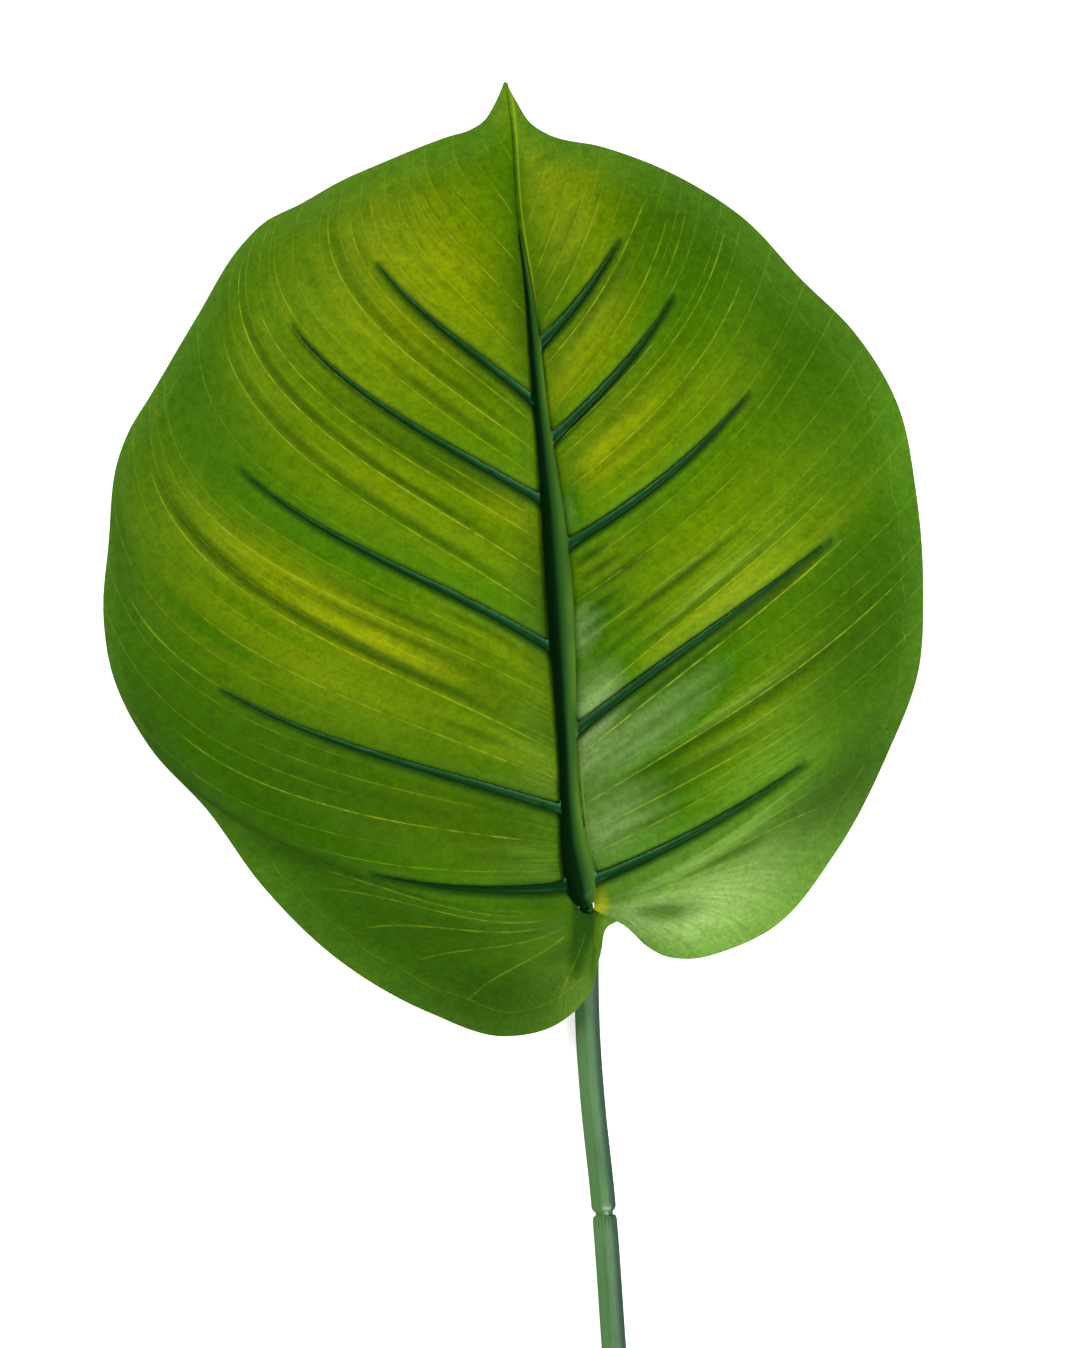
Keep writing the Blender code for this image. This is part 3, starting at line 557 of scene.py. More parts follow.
# %% A tube through rings of points
def tube(maker, rings, closed=False):
    """Pull a circle of points through the rings. A closed tube ends where it starts."""
    count = len(rings[0])
    made = bmesh.ops.create_circle(maker, cap_ends=False, segments=count, radius=MM)
    verts = made["verts"]
    first = edges = list(dict.fromkeys(edge for vertex in verts for edge in vertex.link_edges))
    everything = set(verts)
    for vertex, point in zip(verts, rings[0]):
        vertex.co = place(point)
    for ring in rings[1:]:
        bmesh.ops.extrude_edge_only(maker, edges=edges)
        verts = [next(edge.other_vert(vertex) for edge in vertex.link_edges
                      if edge.other_vert(vertex) not in everything) for vertex in verts]
        new = set(verts)
        edges = list(dict.fromkeys(edge for vertex in verts for edge in vertex.link_edges
                                   if edge.other_vert(vertex) in new))
        for vertex, point in zip(verts, ring):
            vertex.co = place(point)
        everything.update(verts)
    if closed:
        bmesh.ops.bridge_loops(maker, edges=first + edges)
    else:
        for loop in (first, edges):
            bmesh.ops.contextual_create(maker, geom=loop)


# %% Rings of the side ribs and of the midrib
# Heights over the half width, and how squarely the ridges are shouldered
RIB_RISE, RIB_SHOULDER, MIDRIB_RISE, MIDRIB_SHOULDER = 1.25 * 1.15, 0.8, 0.8, 0.9
MIDRIB_WIDTHS = [
    (1, 1.7), (1.008, 2.6), (1.025, 3.2), (1.06, 3), (1.12, 2.3), (1.18, 2.3), (1.26, 2.9),
    (1.34, 3.2), (1.42, 3), (1.55, 2.1), (1.68, 1.6), (1.74, 1.1), (1.815, .45)]
SECTION = np.radians(np.arange(0, 360, 22.5))
# Share of its vein below which a side rib stands twice as high off the satin, clear of the
# midrib, and the sine over which a point of a section counts as its top
CLEAR_SHARE, TOP_SINE = 0.05, 0.01
# A vein's straight length times this is how far a share reaches close to the midrib. The
# keel is drawn out by a little and closed there, and the crown stands over its middle.
NEAR_REACH, KEEL_OUT, CROWN = 0.8, 1.04, 0.9


def rib_rings(side, rib_row, reach, stations=44):
    """Rings of a side rib: the underside keeps to the groove, the back is a round ridge."""
    rings = []
    for s in np.linspace(0, reach, stations):
        seat = GAP if s > CLEAR_SHARE else 2 * GAP
        half = rib_half_width(s / reach)
        rise = RIB_RISE * half / RIB_HALF_WIDTH
        here = face_point(side, rib_row, s)
        beside = face_point(side, rib_row + GROOVE_ROWS, s)
        ahead = vein_point(side, np.array(rib_row), np.array(min(s + 0.01, 1.0)))
        heading = (ahead - here[:2]) / np.linalg.norm(ahead - here[:2])
        spread = abs(heading[0] * (beside[1] - here[1]) - heading[1] * (beside[0] - here[0]))
        part = min(half / spread, 1.0) * GROOVE_ROWS
        ring = []
        for angle in SECTION:
            across = math.cos(angle)
            point = face_point(side, rib_row + across * part, s)
            floor = point[2] + seat
            top = here[2] + seat + rise * max(math.sin(angle), 0) ** RIB_SHOULDER
            is_top = math.sin(angle) > TOP_SINE
            ring.append((*point[:2], max(floor, top) if is_top else floor))
        rings.append(ring)
    return rings


def midrib_rings(stations=110):
    """Rings of the midrib: a keel in the valley between the halves, under a ridge."""
    rings = []
    for row in np.linspace(1.0, MIDRIB_WIDTHS[-1][0], stations):
        half = smooth(MIDRIB_WIDTHS, row)[0]
        middle = face_point(1, row, 0.0)
        ring = []
        for angle in SECTION:
            across, lift = math.cos(angle), math.sin(angle)
            side = 1 if across >= 0 else -1
            reach = half / (NEAR_REACH * float(vein_length(side, np.array(row))))
            point = face_point(side, row, min(abs(across) * KEEL_OUT, 1.0) * reach)
            crown = middle[2] + CROWN * half + GAP + MIDRIB_RISE * half
            rim = face_point(side, row, reach)[2] + GAP
            height = point[2] + GAP
            if lift > TOP_SINE:
                height = rim + (crown - rim) * lift ** MIDRIB_SHOULDER
            ring.append((*point[:2], height))
        rings.append(ring)
    return rings


# %% Which flank of a rib a point lies on
# Shifts that give more painted shade to the midrib's foot and the lowest rib on the left,
# the rows where the foot ends and fades, and one above the lowest rib
FOOT_SHIFT, LOWEST_SHIFT, FOOT_TOP, FOOT_ROWS = -0.4, -0.6, 1.08, 0.08
LOWEST_ROW = 1.1
# In half widths: how far the midrib reaches, and how far off a side rib a point still is its
MIDRIB_REACH, SIDE_REACH = 1.15, 1.6


def mark_flanks(piece):
    """Give each vertex -1 on a rib's flank towards the base, 1 on the one to the tip.

    On the midrib it is -1 on the left and 1 on the right. The midrib's foot and the lowest
    rib on the left are shaded, so there it is shifted down."""
    # The flank sets painted shade on the ribs' plastic where low and a painted highlight where
    # high
    rows = np.linspace(1, MIDRIB_WIDTHS[-1][0], 600)
    foot = FOOT_SHIFT * np.clip((FOOT_TOP - rows) / FOOT_ROWS, 0, 1)
    midrib = [(read(MIDRIB, rows - 1), smooth(MIDRIB_WIDTHS, rows)[:, 0], (1, 0), foot)]
    side_ribs = []
    for side in SIDES:
        for rib_row, reach in SIDES[side]["ribs"]:
            share = np.linspace(0, 1, 400)
            side_ribs.append((vein_point(side, np.full(share.shape, rib_row), share * reach),
                              rib_half_width(share), (0, 1),
                              0 * share + LOWEST_SHIFT * (side < 0 and rib_row < LOWEST_ROW)))
    flanks = []
    for courses in (midrib, side_ribs):
        near = kdtree.KDTree(sum(len(course) for course, half, towards, shift in courses))
        sides = []
        for course, half, towards, shift in courses:
            heading = np.gradient(course, axis=0)
            across = np.stack([-heading[:, 1], heading[:, 0]], -1)
            across = across / np.linalg.norm(across, axis=-1, keepdims=True)
            across = across * np.sign(across @ np.array(towards))[:, None] / half[:, None]
            for point, way, down in zip(course, across, shift):
                near.insert((point[0], point[1], 0), len(sides))
                sides.append((point, way, down))
        near.balance()
        flanks.append((near, sides))
    flank = piece.data.attributes.new("flank", "FLOAT", "POINT")
    main = piece.data.attributes.new("midrib", "FLOAT", "POINT")
    for k, vertex in enumerate(piece.data.vertices):
        spot = vertex.co / MM - SHIFT
        values = []
        for near, sides in flanks:
            found, nearest, away = near.find((spot.x, spot.y, 0))
            point, way, down = sides[nearest]
            values.append((float(np.dot((spot.x, spot.y) - point, way)), down))
        on_midrib = abs(values[0][0]) < MIDRIB_REACH or abs(values[1][0]) > SIDE_REACH
        off, down = values[0 if on_midrib else 1]
        flank.data[k].value = max(-1.0, min(1.0, off + down))
        main.data[k].value = float(on_midrib)


# %% Mould the frame in one
VOXEL, SOFTEN, NECK_SUNK = 0.34, 5, 0.4


def drop_crumbs(piece):
    """Keep only the largest connected body of the piece's mesh."""
    maker = bmesh.new()
    maker.from_mesh(piece.data)
    loose, bodies = set(maker.verts), []
    while loose:
        body, front = set(), [loose.pop()]
        while front:
            vertex = front.pop()
            body.add(vertex)
            new = [edge.other_vert(vertex) for edge in vertex.link_edges
                   if edge.other_vert(vertex) in loose]
            loose.difference_update(new)
            front.extend(new)
        bodies.append(body)
    bodies.sort(key=len)
    for body in bodies[:-1]:
        bmesh.ops.delete(maker, geom=list(body), context="VERTS")
    maker.to_mesh(piece.data)
    maker.free()
    print("loose crumbs taken off", piece.name + ":", len(bodies) - 1)


rings_of_ribs = [midrib_rings()] + [rib_rings(side, rib_row, reach) for side in SIDES
                                    for rib_row, reach in SIDES[side]["ribs"]]
maker = bmesh.new()
for rings in rings_of_ribs:
    tube(maker, rings)
rod(maker, NECK_RADIUS, neck_start - neck_heading * NECK_SUNK, neck_heading,
    NECK_LENGTH + NECK_SUNK, NECK_SIDES)
bmesh.ops.recalc_face_normals(maker, faces=maker.faces)
ribs = new_piece("moulded_ribs", maker)
skin = ribs.modifiers.new("one skin", "REMESH")
skin.mode = "VOXEL"
skin.voxel_size = VOXEL * MM
soften = ribs.modifiers.new("soft corners", "SMOOTH")
soften.factor = 0.5
soften.iterations = SOFTEN
finished_mesh(ribs)
drop_crumbs(ribs)
ribs.data.shade_smooth()
mark_flanks(ribs)
print("moulded_ribs:", triangles(ribs), "triangles")

# %% [markdown]
# The stem. It is two lengths of moulded plastic rod on a steel wire: the upper one ends in
# a spigot that plugs into a socket in the lower one. Down the rod run long flats left by
# the mould, and the lip of the socket has short flutes to grip. The rod bends behind the
# leaf and then lies on the table. A curve with a bevel would make a round tube, but not
# flats, flutes and a socket, so each rod is one closed tube of rings: down its outside,
# round its end, and back up its bore.

# %% The stem's course and section
ROD_RADIUS, ROD_APOTHEM, WIRE_RADIUS = 3.3, 3.05, 1.0
SPIGOT_RADIUS, SPIGOT_LENGTH, JOINT_AT, JOINT_SLIT = 2.35, 8.0, 82.6, 1.0
STEM_LENGTH, ROD_SHARP, WIRE_SHARP = 159.0, 32, 40
# The rod's centre lies this high on the table
LOW = ROD_APOTHEM
course = [tuple(neck_start + neck_heading * NECK_CLEAR),
          tuple(neck_start + neck_heading * (NECK_CLEAR + 5.5)),
          (0.2, -14.5, LOW + 1.3), (0.2, -21, LOW + 0.12), (0.3, -26, LOW), (0.5, -33, LOW),
          (1.8, -52.2, LOW), (4.6, -78.9, LOW), (7.5, -118.5, LOW), (10.2, -STEM_LENGTH, LOW)]
course = np.c_[np.r_[0, np.cumsum(np.linalg.norm(np.diff(course, axis=0), axis=1))], course]
joint = float(np.interp(JOINT_AT, -course[:, 2], course[:, 0]))
end = course[-1, 0]
FLATS = [math.radians(a) for a in (-90, 20, 75, 130, 205)]
TURNS = np.linspace(0, 2 * math.pi, 80, endpoint=False)
# How far ahead along the course a ring looks for its heading, and the flutes in a turn
LOOK, FLUTES = 0.05, 20
print("length of the stem's course in mm:", round(end, 1))


def rod_radius(angle):
    """Radius of the rod at an angle: round, with long flats, one of them below."""
    radius = ROD_RADIUS
    for flat in FLATS:
        turn = math.cos(angle - flat)
        if turn > 0.5:
            radius = min(radius, ROD_APOTHEM / turn)
    return radius


def stem_ring(at, radius):
    """A ring round the stem at a length along its course. Radius may depend on the angle."""
    here, ahead = smooth(course, np.array([at, at + LOOK]))
    if at + LOOK > end:
        here, ahead = smooth(course, np.array([at - LOOK, at]))
    heading = Vector(ahead - here).normalized()
    across = heading.cross(Vector((0, 0, 1))).normalized()
    up = across.cross(heading)
    centre = Vector(smooth(course, np.array([at]))[0])
    size = radius if callable(radius) else (lambda angle: radius)
    return [centre - across * size(a) * math.cos(a) + up * size(a) * math.sin(a)
            for a in TURNS]


def scaled(scale, flute=0.0):
    """The rod's section, scaled, with shallow flutes round it."""
    return lambda angle: (rod_radius(angle) * scale
                          - flute * max(math.cos(angle * FLUTES), 0)
                          * (math.sin(angle) > -0.5))


# %% Upper rod with its spigot, lower rod with its socket
def turned(base, profile):
    """Rings at distances from a base, each with its scale of the section and its flutes."""
    return [stem_ring(base + away, scaled(*section)) for away, *section in profile]


def bore(radius, stations):
    """Round rings of one radius at these lengths."""
    return [stem_ring(at, radius) for at in stations]


def ringed_piece(name, rings, sharp, closed=False):
    """Make a tube of rings a piece, smooth but for edges sharper than some degrees."""
    maker = bmesh.new()
    tube(maker, rings, closed)
    bmesh.ops.recalc_face_normals(maker, faces=maker.faces)
    piece = new_piece(name, maker)
    piece.data.shade_smooth()
    piece.data.set_sharp_from_angle(angle=math.radians(sharp))
    print(name + ":", triangles(piece), "triangles")
    return piece


sockets = []
across = Vector(neck_heading).cross(Vector((0, 0, 1))).normalized()
up = across.cross(Vector(neck_heading))
for depth in (NECK_LENGTH + GAP, NECK_CLEAR + 0.02):
    centre = Vector(neck_start + neck_heading * depth)
    sockets.append([centre - across * (NECK_RADIUS + GAP) * math.cos(a)
                    + up * (NECK_RADIUS + GAP) * math.sin(a) for a in TURNS])
WIRE_START, WIRE_BORE, SPIGOT_BORE = 22.0, WIRE_RADIUS + GAP, SPIGOT_RADIUS + GAP
spigot_end, top = joint + SPIGOT_LENGTH, joint + JOINT_SLIT
upper = ringed_piece(
    "upper_rod",
    sockets + turned(0, [(0, .82), (.12, .9), (.5, .98)])
    + turned(0, [(at, 1) for at in np.arange(1.2, joint - 2, 1.2)])
    + turned(joint, [(-1.6, 1), (-1.1, .97), (-.6, .9), (-.2, .8)])
    + bore(SPIGOT_RADIUS, (joint, spigot_end - 0.3))
    + bore(SPIGOT_RADIUS - 0.3, [spigot_end]) + bore(WIRE_BORE, [spigot_end])
    + bore(WIRE_BORE, np.arange(spigot_end - 2, WIRE_START, -2))
    + bore(WIRE_BORE, [WIRE_START - GAP]), ROD_SHARP)
lower = ringed_piece(
    "lower_rod",
    bore(SPIGOT_BORE, [top])
    + turned(top, [(0, .86), (.15, .9, .1), (.45, .95, .3), (.9, .985, .32), (1.6, 1, .3),
                   (2.6, 1, .22), (3.4, 1, .08), (3.8, 1)])
    + turned(0, [(at, 1) for at in np.arange(top + 5, end - 1.5, 1.6)])
    + turned(end, [(-1, 1), (-.3, .985), (-.05, .94), (0, .9)]) + bore(WIRE_BORE, [end])
    + bore(WIRE_BORE, np.arange(end - 2, spigot_end + 2, -2))
    + bore(WIRE_BORE, [spigot_end + GAP]) + bore(SPIGOT_BORE, [spigot_end + GAP])
    + bore(SPIGOT_BORE, np.arange(spigot_end - 1, top + 1, -1.5)), ROD_SHARP, closed=True)

# %% Which side of the stem a point lies on
axis_points = smooth(course, np.arange(0, end, 0.5))
for piece in (upper, lower):
    layer = piece.data.attributes.new("side", "FLOAT", "POINT")
    for vertex, value in zip(piece.data.vertices, layer.data):
        spot = vertex.co / MM - SHIFT
        centre = np.interp(-spot.y, -axis_points[:, 1], axis_points[:, 0])
        value.value = (spot.x - centre) / ROD_RADIUS
print("middle of the stem at its ends in mm:", np.round(axis_points[[0, -1], 0], 1))

# %% [markdown]
# The wire. A length of bright drawn steel keeps the bend in the stem, and its cut end shows
# at the bottom. One tube of rings with a slightly domed end is enough.

# %% Steel wire
wire = ringed_piece(
    "steel_wire",
    bore(WIRE_RADIUS, np.arange(WIRE_START, end - 1, 2)) + bore(WIRE_RADIUS, [end - 0.3])
    + bore(WIRE_RADIUS * 0.9, [end - 0.22]) + bore(WIRE_RADIUS * 0.7, [end - 0.2]), WIRE_SHARP)

# %% [markdown]
# Finishes. Each one is a small tree of nodes. Colours are written as the sRGB codes a
# maker would give, and turned to linear light once.

# %% Colour codes and one helper for nodes
def colour(code):
    """An sRGB code such as 4f7a0a as linear red, green, blue and alpha."""
    parts = [int(code[k:k + 2], 16) / 255 for k in (0, 2, 4)]
    return (*[c / 12.92 if c <= 0.04045 else ((c + 0.055) / 1.055) ** 2.4 for c in parts], 1)


def fill(socket, value):
    """Link a socket, or write a value or a colour code into it. None leaves it alone."""
    if isinstance(value, bpy.types.NodeSocket):
        socket.id_data.links.new(value, socket)
    elif value is not None:
        socket.default_value = colour(value) if isinstance(value, str) else value


def add(owner, kind, *values, out=None, **settings):
    """Add a node, fill its live inputs in order, and return one output, or the first."""
    made = owner.node_tree.nodes.new("ShaderNode" + kind)
    for name, value in settings.items():
        setattr(made, name, value)
    for socket, value in zip([live for live in made.inputs if live.enabled], values):
        fill(socket, value)
    return made.outputs[out] if out else next(live for live in made.outputs if live.enabled)


def dress(material, sockets):
    """Fill the named sockets of the material's Principled shader."""
    for name, value in sockets.items():
        fill(material.node_tree.nodes["Principled BSDF"].inputs[name], value)


print("a mid green in linear light:", np.round(colour("4f7a0a")[:3], 3))

# %% [markdown]
# Satin, printed and stiffened. The face of a polyester satin is smooth floats of fine
# thread, so it has a broad soft sheen and hardly any sparkle. The print gives it a deep
# green that turns yellower in the panels, fine speckles where the ink misses the thread,
# and thin veins. Over it lie a lighter, bluer green at the margin, partly print and partly
# painted sheen, patches of pale painted sheen, dark patches of print and painted shade,
# and painted shade in the pleats, beside the ribs and below the foot. The veins come from
# the counter that the vertices carry: how far it is from a whole number, times the
# spacing in millimetres, is the distance to the nearest vein.

# %% Printed face of the satin, with painted light and shade
face = blade.data.materials[0]
here = add(face, "TexCoord", out="Object")
uv = {name: add(face, "UVMap", uv_map=name)
      for name in ("leaf", "veins", "print", "ribs", "patches_and_painted_light")}
(across, row), (counter, spacing), (ink_and_painted_shade, to_edge), (to_rib, to_midrib), (yellow_and_sheen, dark) = [
    add(face, "SeparateXYZ", layer).node.outputs[:2] for layer in uv.values()]

# Broad clouds 60 mm wide, streaks along the veins, and specks of 1 mm
broad = add(face, "TexNoise", here, 16, 2, .5)
along = add(face, "Mapping", uv["leaf"], None, None, (3.2, 55, 1))
streaks = add(face, "TexNoise", along, 1, 4, .6)
specks = add(face, "TexNoise", here, 900, 2, .6)
cloth = add(face, "TexNoise", here, 330, 3, .7)
uneven = add(face, "MapRange", streaks, .3, .7, .45, 1.25)
yellow = add(face, "Math", yellow_and_sheen, uneven, operation="MULTIPLY", use_clamp=True)
# Painted sheen: where the patches' yellow is below zero, a pale grey green is laid on
painted_sheen = add(face, "Math", yellow_and_sheen, -1, operation="MULTIPLY")
painted_sheen = add(face, "Math", painted_sheen, uneven, operation="MULTIPLY", use_clamp=True)
# The margin's lighter, bluer green is partly print and partly painted sheen
margin = add(face, "MapRange", to_edge, 0, 12, .60, 0)
# Painted shade beside each rib, off towards the base, and painted shadow below the foot
painted_rib_shade = add(face, "MapRange", to_rib, 1.6, -.2, 0, .85, interpolation_type="SMOOTHSTEP")
tone = add(face, "Mix", broad, "2c5500", "3d6c00", data_type="RGBA")
# Over the green: yellow print, painted sheen, margin, print and painted shade, rib shade
for amount, code in ((yellow, "808a00"), (painted_sheen, "849e62"), (margin, "4f7c1a"),
                     (dark, "1d3c02"), (painted_rib_shade, "0a3306")):
    tone = add(face, "Mix", amount, tone, code, data_type="RGBA")
grain = add(face, "Math", specks, cloth, operation="ADD")
speck = add(face, "MapRange", grain, .75, 1.25, .80, 1.22)
tone = add(face, "VectorMath", tone, speck, operation="SCALE")

# The glue of the foot leaves a yellow spot 5 mm wide on the right of the midrib
spot = add(face, "MapRange", to_midrib, 6.5, 3.5)
fan = add(face, "MapRange", row, 1.02, 1.0)
right = add(face, "Math", across, 0.0, operation="GREATER_THAN")
for mask in (fan, right):
    spot = add(face, "Math", spot, mask, operation="MULTIPLY")
tone = add(face, "Mix", spot, tone, "949a12", data_type="RGBA")
print("nodes in the print so far:", len(face.node_tree.nodes))

# %% Printed veins of the face
def from_whole(number):
    """Socket with how far the number is from the nearest whole one."""
    whole = add(face, "Math", number, operation="ROUND")
    off = add(face, "Math", number, whole, operation="SUBTRACT")
    return add(face, "Math", off, operation="ABSOLUTE")


broken = add(face, "TexNoise", here, 260, 3, .7)
broken = add(face, "MapRange", broken, .36, .6, .1, 1)
share = add(face, "Math", across, operation="ABSOLUTE")
outer = add(face, "MapRange", share, .30, .50)
between = add(face, "Math", counter, .5, operation="ADD")
scallop = add(face, "MapRange", from_whole(counter), 0, .5, 7.8, 6.8,
              interpolation_type="SMOOTHSTEP")
looped = add(face, "Math", to_edge, scallop, operation="SUBTRACT")
beside = add(face, "Math", to_midrib, 3.7, operation="SUBTRACT")
upper_side = add(face, "Math", to_midrib, 1.7, operation="SUBTRACT")
low = add(face, "MapRange", row, 1.20, 1.14)
beyond_fan = add(face, "MapRange", row, 1.02, 1.06)
high = add(face, "MapRange", row, 1.60, 1.68)
# Each line: distance, what turns it to millimetres, half width, strength, where it shows
LINES = [(from_whole(counter), spacing, .28, .55, (ink_and_painted_shade, broken)),
         (from_whole(between), spacing, .24, .22, (outer, broken, beyond_fan)),
         (looped, 1.0, .28, .14, (broken,)),
         (beside, 1.0, .34, .38, (right, low, beyond_fan)),
         (upper_side, 1.0, .50, .50, (right, high))]
print("kinds of line over the print:", len(LINES))
wander = add(face, "MapRange", specks, None, None, -.12, .12)
for distance, millimetres, half, strength, masks in LINES:
    distance = add(face, "Math", distance, operation="ABSOLUTE")
    distance = add(face, "Math", distance, millimetres, operation="MULTIPLY")
    distance = add(face, "Math", distance, wander, operation="ADD")
    line = add(face, "MapRange", distance, half, half / 3, 0, strength)
    for mask in masks:
        line = add(face, "Math", line, mask, operation="MULTIPLY", use_clamp=True)
    tone = add(face, "Mix", line, tone, "96a824", data_type="RGBA")

# %% Weave, creases and sheen of the face
# The weave is 0.2 mm in the cloth and drawn at 0.5 mm, so that it shows
weave = add(face, "TexNoise", here, 2000, 1)
relief = add(face, "Math", weave, specks, operation="ADD")
bump = add(face, "Bump", .35, .05 * MM, None, relief)
# Creases 2 mm wide run along the veins where the cloth was pressed
along = add(face, "Mapping", uv["leaf"], None, None, (7, 190, 1))
creases = add(face, "TexNoise", along, 1, 3, .55)
bump = add(face, "Bump", .35, .3 * MM, None, creases, bump)
# The lobes are duller than the panels, and so is the satin under the painted rib shade
rough = add(face, "MapRange", streaks, .3, .7, .33, .42)
fan = add(face, "MapRange", row, 1.05, .75, 0, 1)
lobes = add(face, "MapRange", across, .02, -.10, .08, .13)
lobes = add(face, "Math", lobes, fan, operation="MULTIPLY")
rib_dulling_and_shade = add(face, "MapRange", to_rib, 3.2, 1.2, 0, .30)
for dull in (lobes, rib_dulling_and_shade):
    rough = add(face, "Math", rough, dull, operation="ADD")
dress(face, {"Base Color": tone, "Normal": bump, "Roughness": rough, "IOR": 1.44,
             "Specular Tint": "d4ff68"})
print("nodes in the printed face:", len(face.node_tree.nodes))

# %% Unprinted back and cut edge of the satin
for k, shadow, bright in ((1, "4a6f34", "6d9150"), (2, "5f8238", "93aa62")):
    satin = blade.data.materials[k]
    here = add(satin, "TexCoord", out="Object")
    cloth = add(satin, "TexNoise", here, 700, 3)
    cloud = add(satin, "TexNoise", here, 25, 2)
    both = add(satin, "Math", cloth, cloud, operation="ADD")
    share = add(satin, "MapRange", both, .7, 1.3)
    dress(satin, {"Base Color": add(satin, "Mix", share, shadow, bright, data_type="RGBA"),
                  "Normal": add(satin, "Bump", .5, .08 * MM, None, cloth),
                  "Roughness": add(satin, "MapRange", cloud, None, None, .62, .78),
                  "Sheen Weight": 0.3})
    print(satin.name, "has", len(satin.node_tree.nodes), "nodes")

# %% [markdown]
# Moulded polyethylene for the ribs and the stem. It leaves the mould with a satin skin, a
# little uneven where it shrank, and its pigment is not quite evenly mixed. It scuffs pale
# where it is handled. The ribs are a dark bluish green, the stem a greyer one. Both get
# painted light and painted shade on their sides.

# %% Moulded plastics
def moulded(name, dark, light, roughness, scuff):
    """Polyethylene from a mould: mottled pigment, a rippled skin and pale scuffs."""
    material = new_material(name)
    drawn = add(material, "Mapping", add(material, "TexCoord", out="Object"), None, None,
                (1, .25, 1))
    mottle = add(material, "TexNoise", drawn, 220, 4, .6)
    ripple = add(material, "TexNoise", drawn, 600, 2)
    scuffs = add(material, "TexNoise", drawn, 1300, 5, .7)
    worn = add(material, "MapRange", scuffs, .62, .75, 0, .5)
    tone = add(material, "Mix", add(material, "MapRange", mottle, .3, .7), dark, light,
               data_type="RGBA")
    tone = add(material, "Mix", worn, tone, scuff, data_type="RGBA")
    rough = add(material, "MapRange", mottle, None, None, roughness - .08, roughness + .1)
    dress(material, {"Base Color": tone, "Roughness": rough, "IOR": 1.51,
                     "Normal": add(material, "Bump", .4, .06 * MM, None, ripple)})
    return material, tone


rib_plastic, plain = moulded("moulded rib plastic", "08300e", "1a4a1c", .46, "3c6f4c")
flank = add(rib_plastic, "Attribute", attribute_name="flank", out="Fac")
midrib = add(rib_plastic, "Attribute", attribute_name="midrib", out="Fac")
# The midrib is a warmer green than the side ribs. Painted shade darkens each rib's flank
# towards the base and the midrib's left flank, nearly black there
warm = add(rib_plastic, "Mix", midrib, plain, "1f4210", data_type="RGBA")
rib_dulling_and_shade = add(rib_plastic, "MapRange", flank, -.35, .30, 1, 0, interpolation_type="SMOOTHSTEP")
ink_and_painted_shade = add(rib_plastic, "Mix", midrib, "07280a", "021604", data_type="RGBA")
tone = add(rib_plastic, "Mix", rib_dulling_and_shade, warm, ink_and_painted_shade, data_type="RGBA")
# Painted highlight on the flank towards the tip, patchy, teal on the side ribs
highlight_breakup = add(rib_plastic, "TexNoise", add(rib_plastic, "TexCoord", out="Object"), 45, 1)
highlight_breakup = add(rib_plastic, "MapRange", highlight_breakup, .35, .62, .25, .9)
lit = add(rib_plastic, "MapRange", flank, .25, .90)
lit = add(rib_plastic, "Math", lit, highlight_breakup, operation="MULTIPLY")
painted_highlight_tone = add(rib_plastic, "Mix", midrib, "4f8264", "4a6c20", data_type="RGBA")
tone = add(rib_plastic, "Mix", lit, tone, painted_highlight_tone, data_type="RGBA")
dress(rib_plastic, {"Base Color": tone, "Specular IOR Level": 0.15,
                    "Specular Tint": "a0ffb0"})
ribs.data.materials.append(rib_plastic)

stem_plastic, tone = moulded("moulded stem plastic", "345830", "4a7240", .40, "6a8a60")
# Painted light on the stem's left and painted shade, bluer and darker, on its right
side_of = add(stem_plastic, "Attribute", attribute_name="side", out="Fac")
for start_at, full_at, code in ((-.22, -.40, "527c44"), (.35, .55, "2a4238")):
    stem_light_and_shade = add(stem_plastic, "MapRange", side_of, start_at, full_at, 0, .75)
    tone = add(stem_plastic, "Mix", stem_light_and_shade, tone, code, data_type="RGBA")
dress(stem_plastic, {"Base Color": tone})
for piece in (upper, lower):
    piece.data.materials.append(stem_plastic)
print("nodes in the plastics:", len(rib_plastic.node_tree.nodes),
      len(stem_plastic.node_tree.nodes))

# %% [markdown]
# Drawn steel wire: drawing leaves fine lines along its length, and the cut end is brighter.

# %% Drawn steel
steel = new_material("drawn steel wire")
drawn = add(steel, "Mapping", add(steel, "TexCoord", out="Object"), None, None, (1, .05, 1))
lines = add(steel, "TexNoise", drawn, 3000, 3)
dress(steel, {"Base Color": add(steel, "Mix", lines, "8e8f8d", "c4c4c0", data_type="RGBA"),
              "Roughness": add(steel, "MapRange", lines, None, None, .22, .45),
              "Normal": add(steel, "Bump", .3, .02 * MM, None, lines), "Metallic": 1})
wire.data.materials.append(steel)
print("materials:", [material.name for material in bpy.data.materials])

# %% [markdown]
# Each piece rides on the one body of the model and stands in for its solid, which is hidden.

# %% Pieces and their solids
for piece, node, slot in ((blade, "blade", "satin_fabric"), (ribs, "rib_frame", "rib_plastic"),
                          (upper, "upper_stem", "stem_plastic"),
                          (lower, "lower_stem", "stem_plastic"),
                          (wire, "wire_core", "steel_wire")):
    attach(piece, "root")
    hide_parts(node)
    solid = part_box(node)
    points = np.array([tuple(v.co) for v in piece.data.vertices])
    print(piece.name, "stands off its solid in mm by",
          np.round((points.min(0) - np.array(solid[0])) * 1000, 2),
          np.round((points.max(0) - np.array(solid[1])) * 1000, 2))

# %% [markdown]
# The studio. The photograph looks straight down at a leaf on white, so the floor is pale
# and bright, and the camera is far up with a long lens, which keeps the sides parallel. A
# large soft key from the upper left, a ceiling and a fill on each side light the leaf, and
# the satin doesn't mirror them. Two more lamps below it are there for the sheen alone: a
# broad one on the right and a small one near the camera.

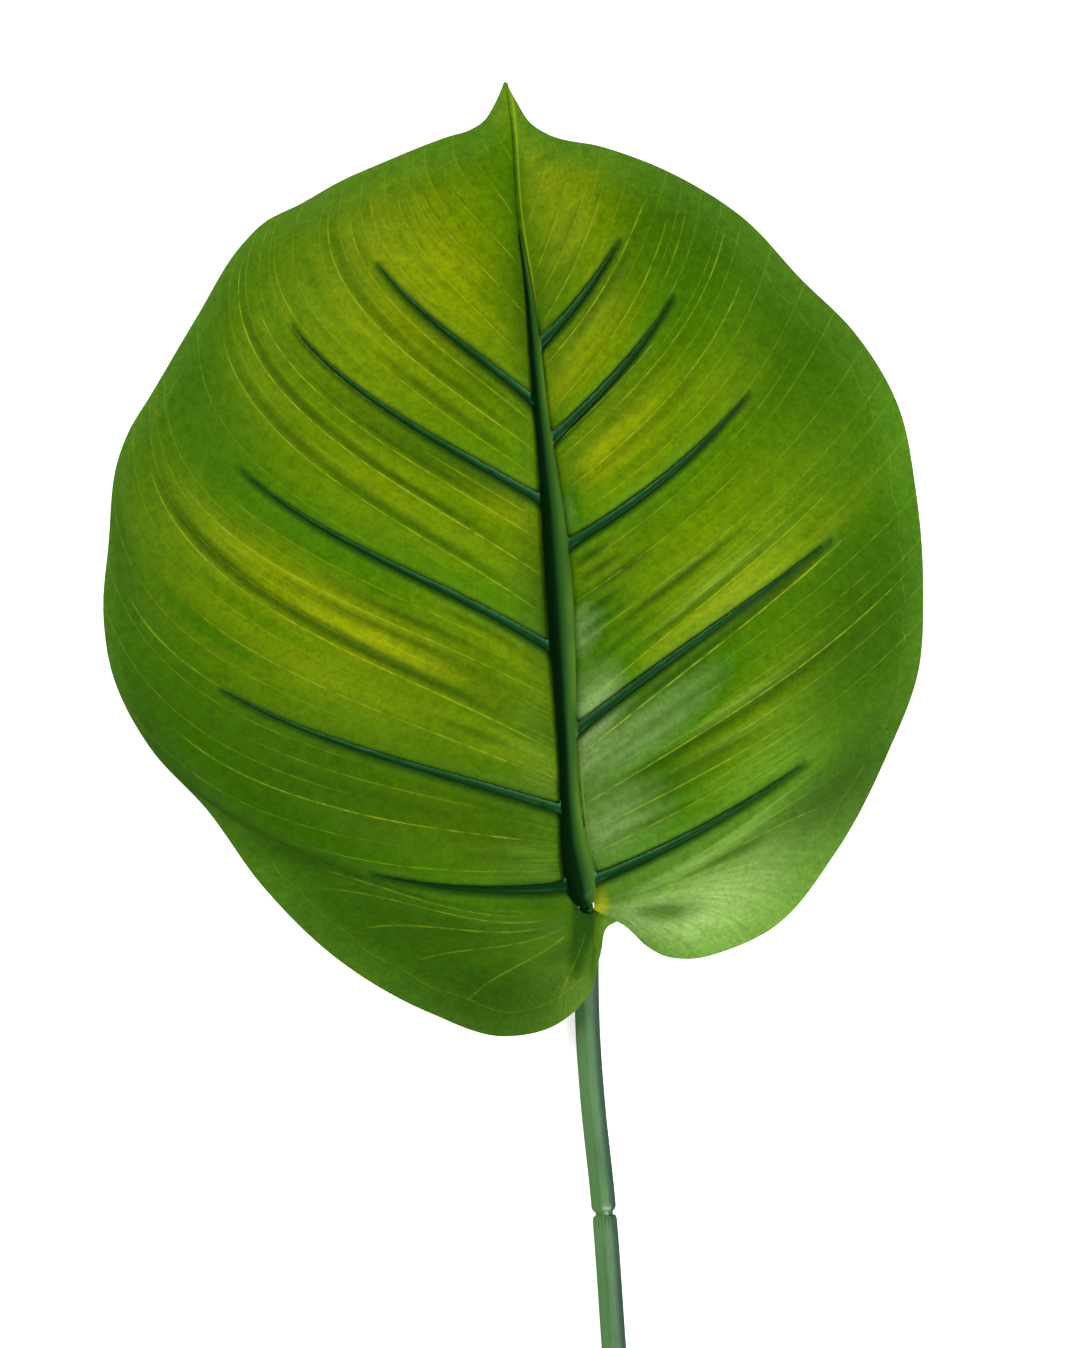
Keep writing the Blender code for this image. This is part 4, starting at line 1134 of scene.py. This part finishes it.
# %% Floor
maker = bmesh.new()
bmesh.ops.create_grid(maker, x_segments=1, y_segments=1, size=3)
floor = new_piece("floor", maker)
white = new_material("white card")
grain = add(white, "TexNoise", add(white, "TexCoord", out="Object"), 300, 3)
dress(white, {"Base Color": add(white, "Mix", grain, "f0f0ee", "f6f6f5", data_type="RGBA"),
              "Roughness": 0.9, "Emission Color": "ffffff", "Emission Strength": 0.6})
floor.data.materials.append(white)
print("floor:", [round(side, 1) for side in floor.dimensions], "m")

# %% Lights
AIM = Vector((0.007, 0.03, 0.01))


def softbox(name, offset, size, watts):
    """A square area light at an offset from the leaf, turned to face it."""
    lamp = bpy.data.lights.new(name, "AREA")
    lamp.size = size
    lamp.energy = watts
    made = bpy.data.objects.new(name, lamp)
    made.location = AIM + Vector(offset)
    made.rotation_euler = (-Vector(offset)).to_track_quat("-Z", "Y").to_euler()
    bpy.context.scene.collection.objects.link(made)
    return made


unseen = [softbox("upper key", (-0.90, 1.30, 1.50), 1.2, 26),
          softbox("ceiling", (0.0, 0.0, 2.60), 2.0, 8),
          softbox("right fill", (1.50, 0.60, 1.20), 1.0, 10),
          softbox("left fill", (-1.60, 0.30, 1.10), 1.0, 13), floor]
for lamp in unseen:
    lamp.visible_glossy = False
softbox("right sheen", (0.95, -1.05, 1.00), 0.9, 38)
softbox("low sheen", (-0.52, -0.64, 1.71), 0.35, 2)
print("lights:", [lamp.name for lamp in bpy.data.lights])

# %% Air round the leaf, paler towards the floor
world = bpy.data.worlds.new("studio air")
world.use_nodes = True
height = add(world, "SeparateXYZ", add(world, "TexCoord", out="Generated"), out="Z")
background = world.node_tree.nodes["Background"]
fill(background.inputs["Color"], "eef3f8")
fill(background.inputs["Strength"], add(world, "MapRange", height, .25, .75, .35, 0))
bpy.context.scene.world = world
world.cycles_visibility.glossy = False
bpy.context.scene.view_settings.view_transform = "Standard"
print("nodes in the air:", len(world.node_tree.nodes))

# %% Camera
# In millimetres: how much the frame shows at the leaf's level, and where its middle lies
FRAME_HEIGHT, LEAF_LEVEL, CAMERA_UP, SENSOR = 360.78, 10, 2000.0, 36.0
FRAME_MIDDLE, FAR_CLIP = (6.81, 30.78), 20
lens = bpy.data.cameras.new("camera")
lens.sensor_width = SENSOR
lens.lens = SENSOR * (CAMERA_UP - LEAF_LEVEL) / FRAME_HEIGHT
lens.clip_end = FAR_CLIP
camera = bpy.data.objects.new("camera", lens)
camera.location = Vector((*FRAME_MIDDLE, CAMERA_UP)) * MM
bpy.context.scene.collection.objects.link(camera)
bpy.context.scene.camera = camera
print("lens in mm:", round(lens.lens, 1))
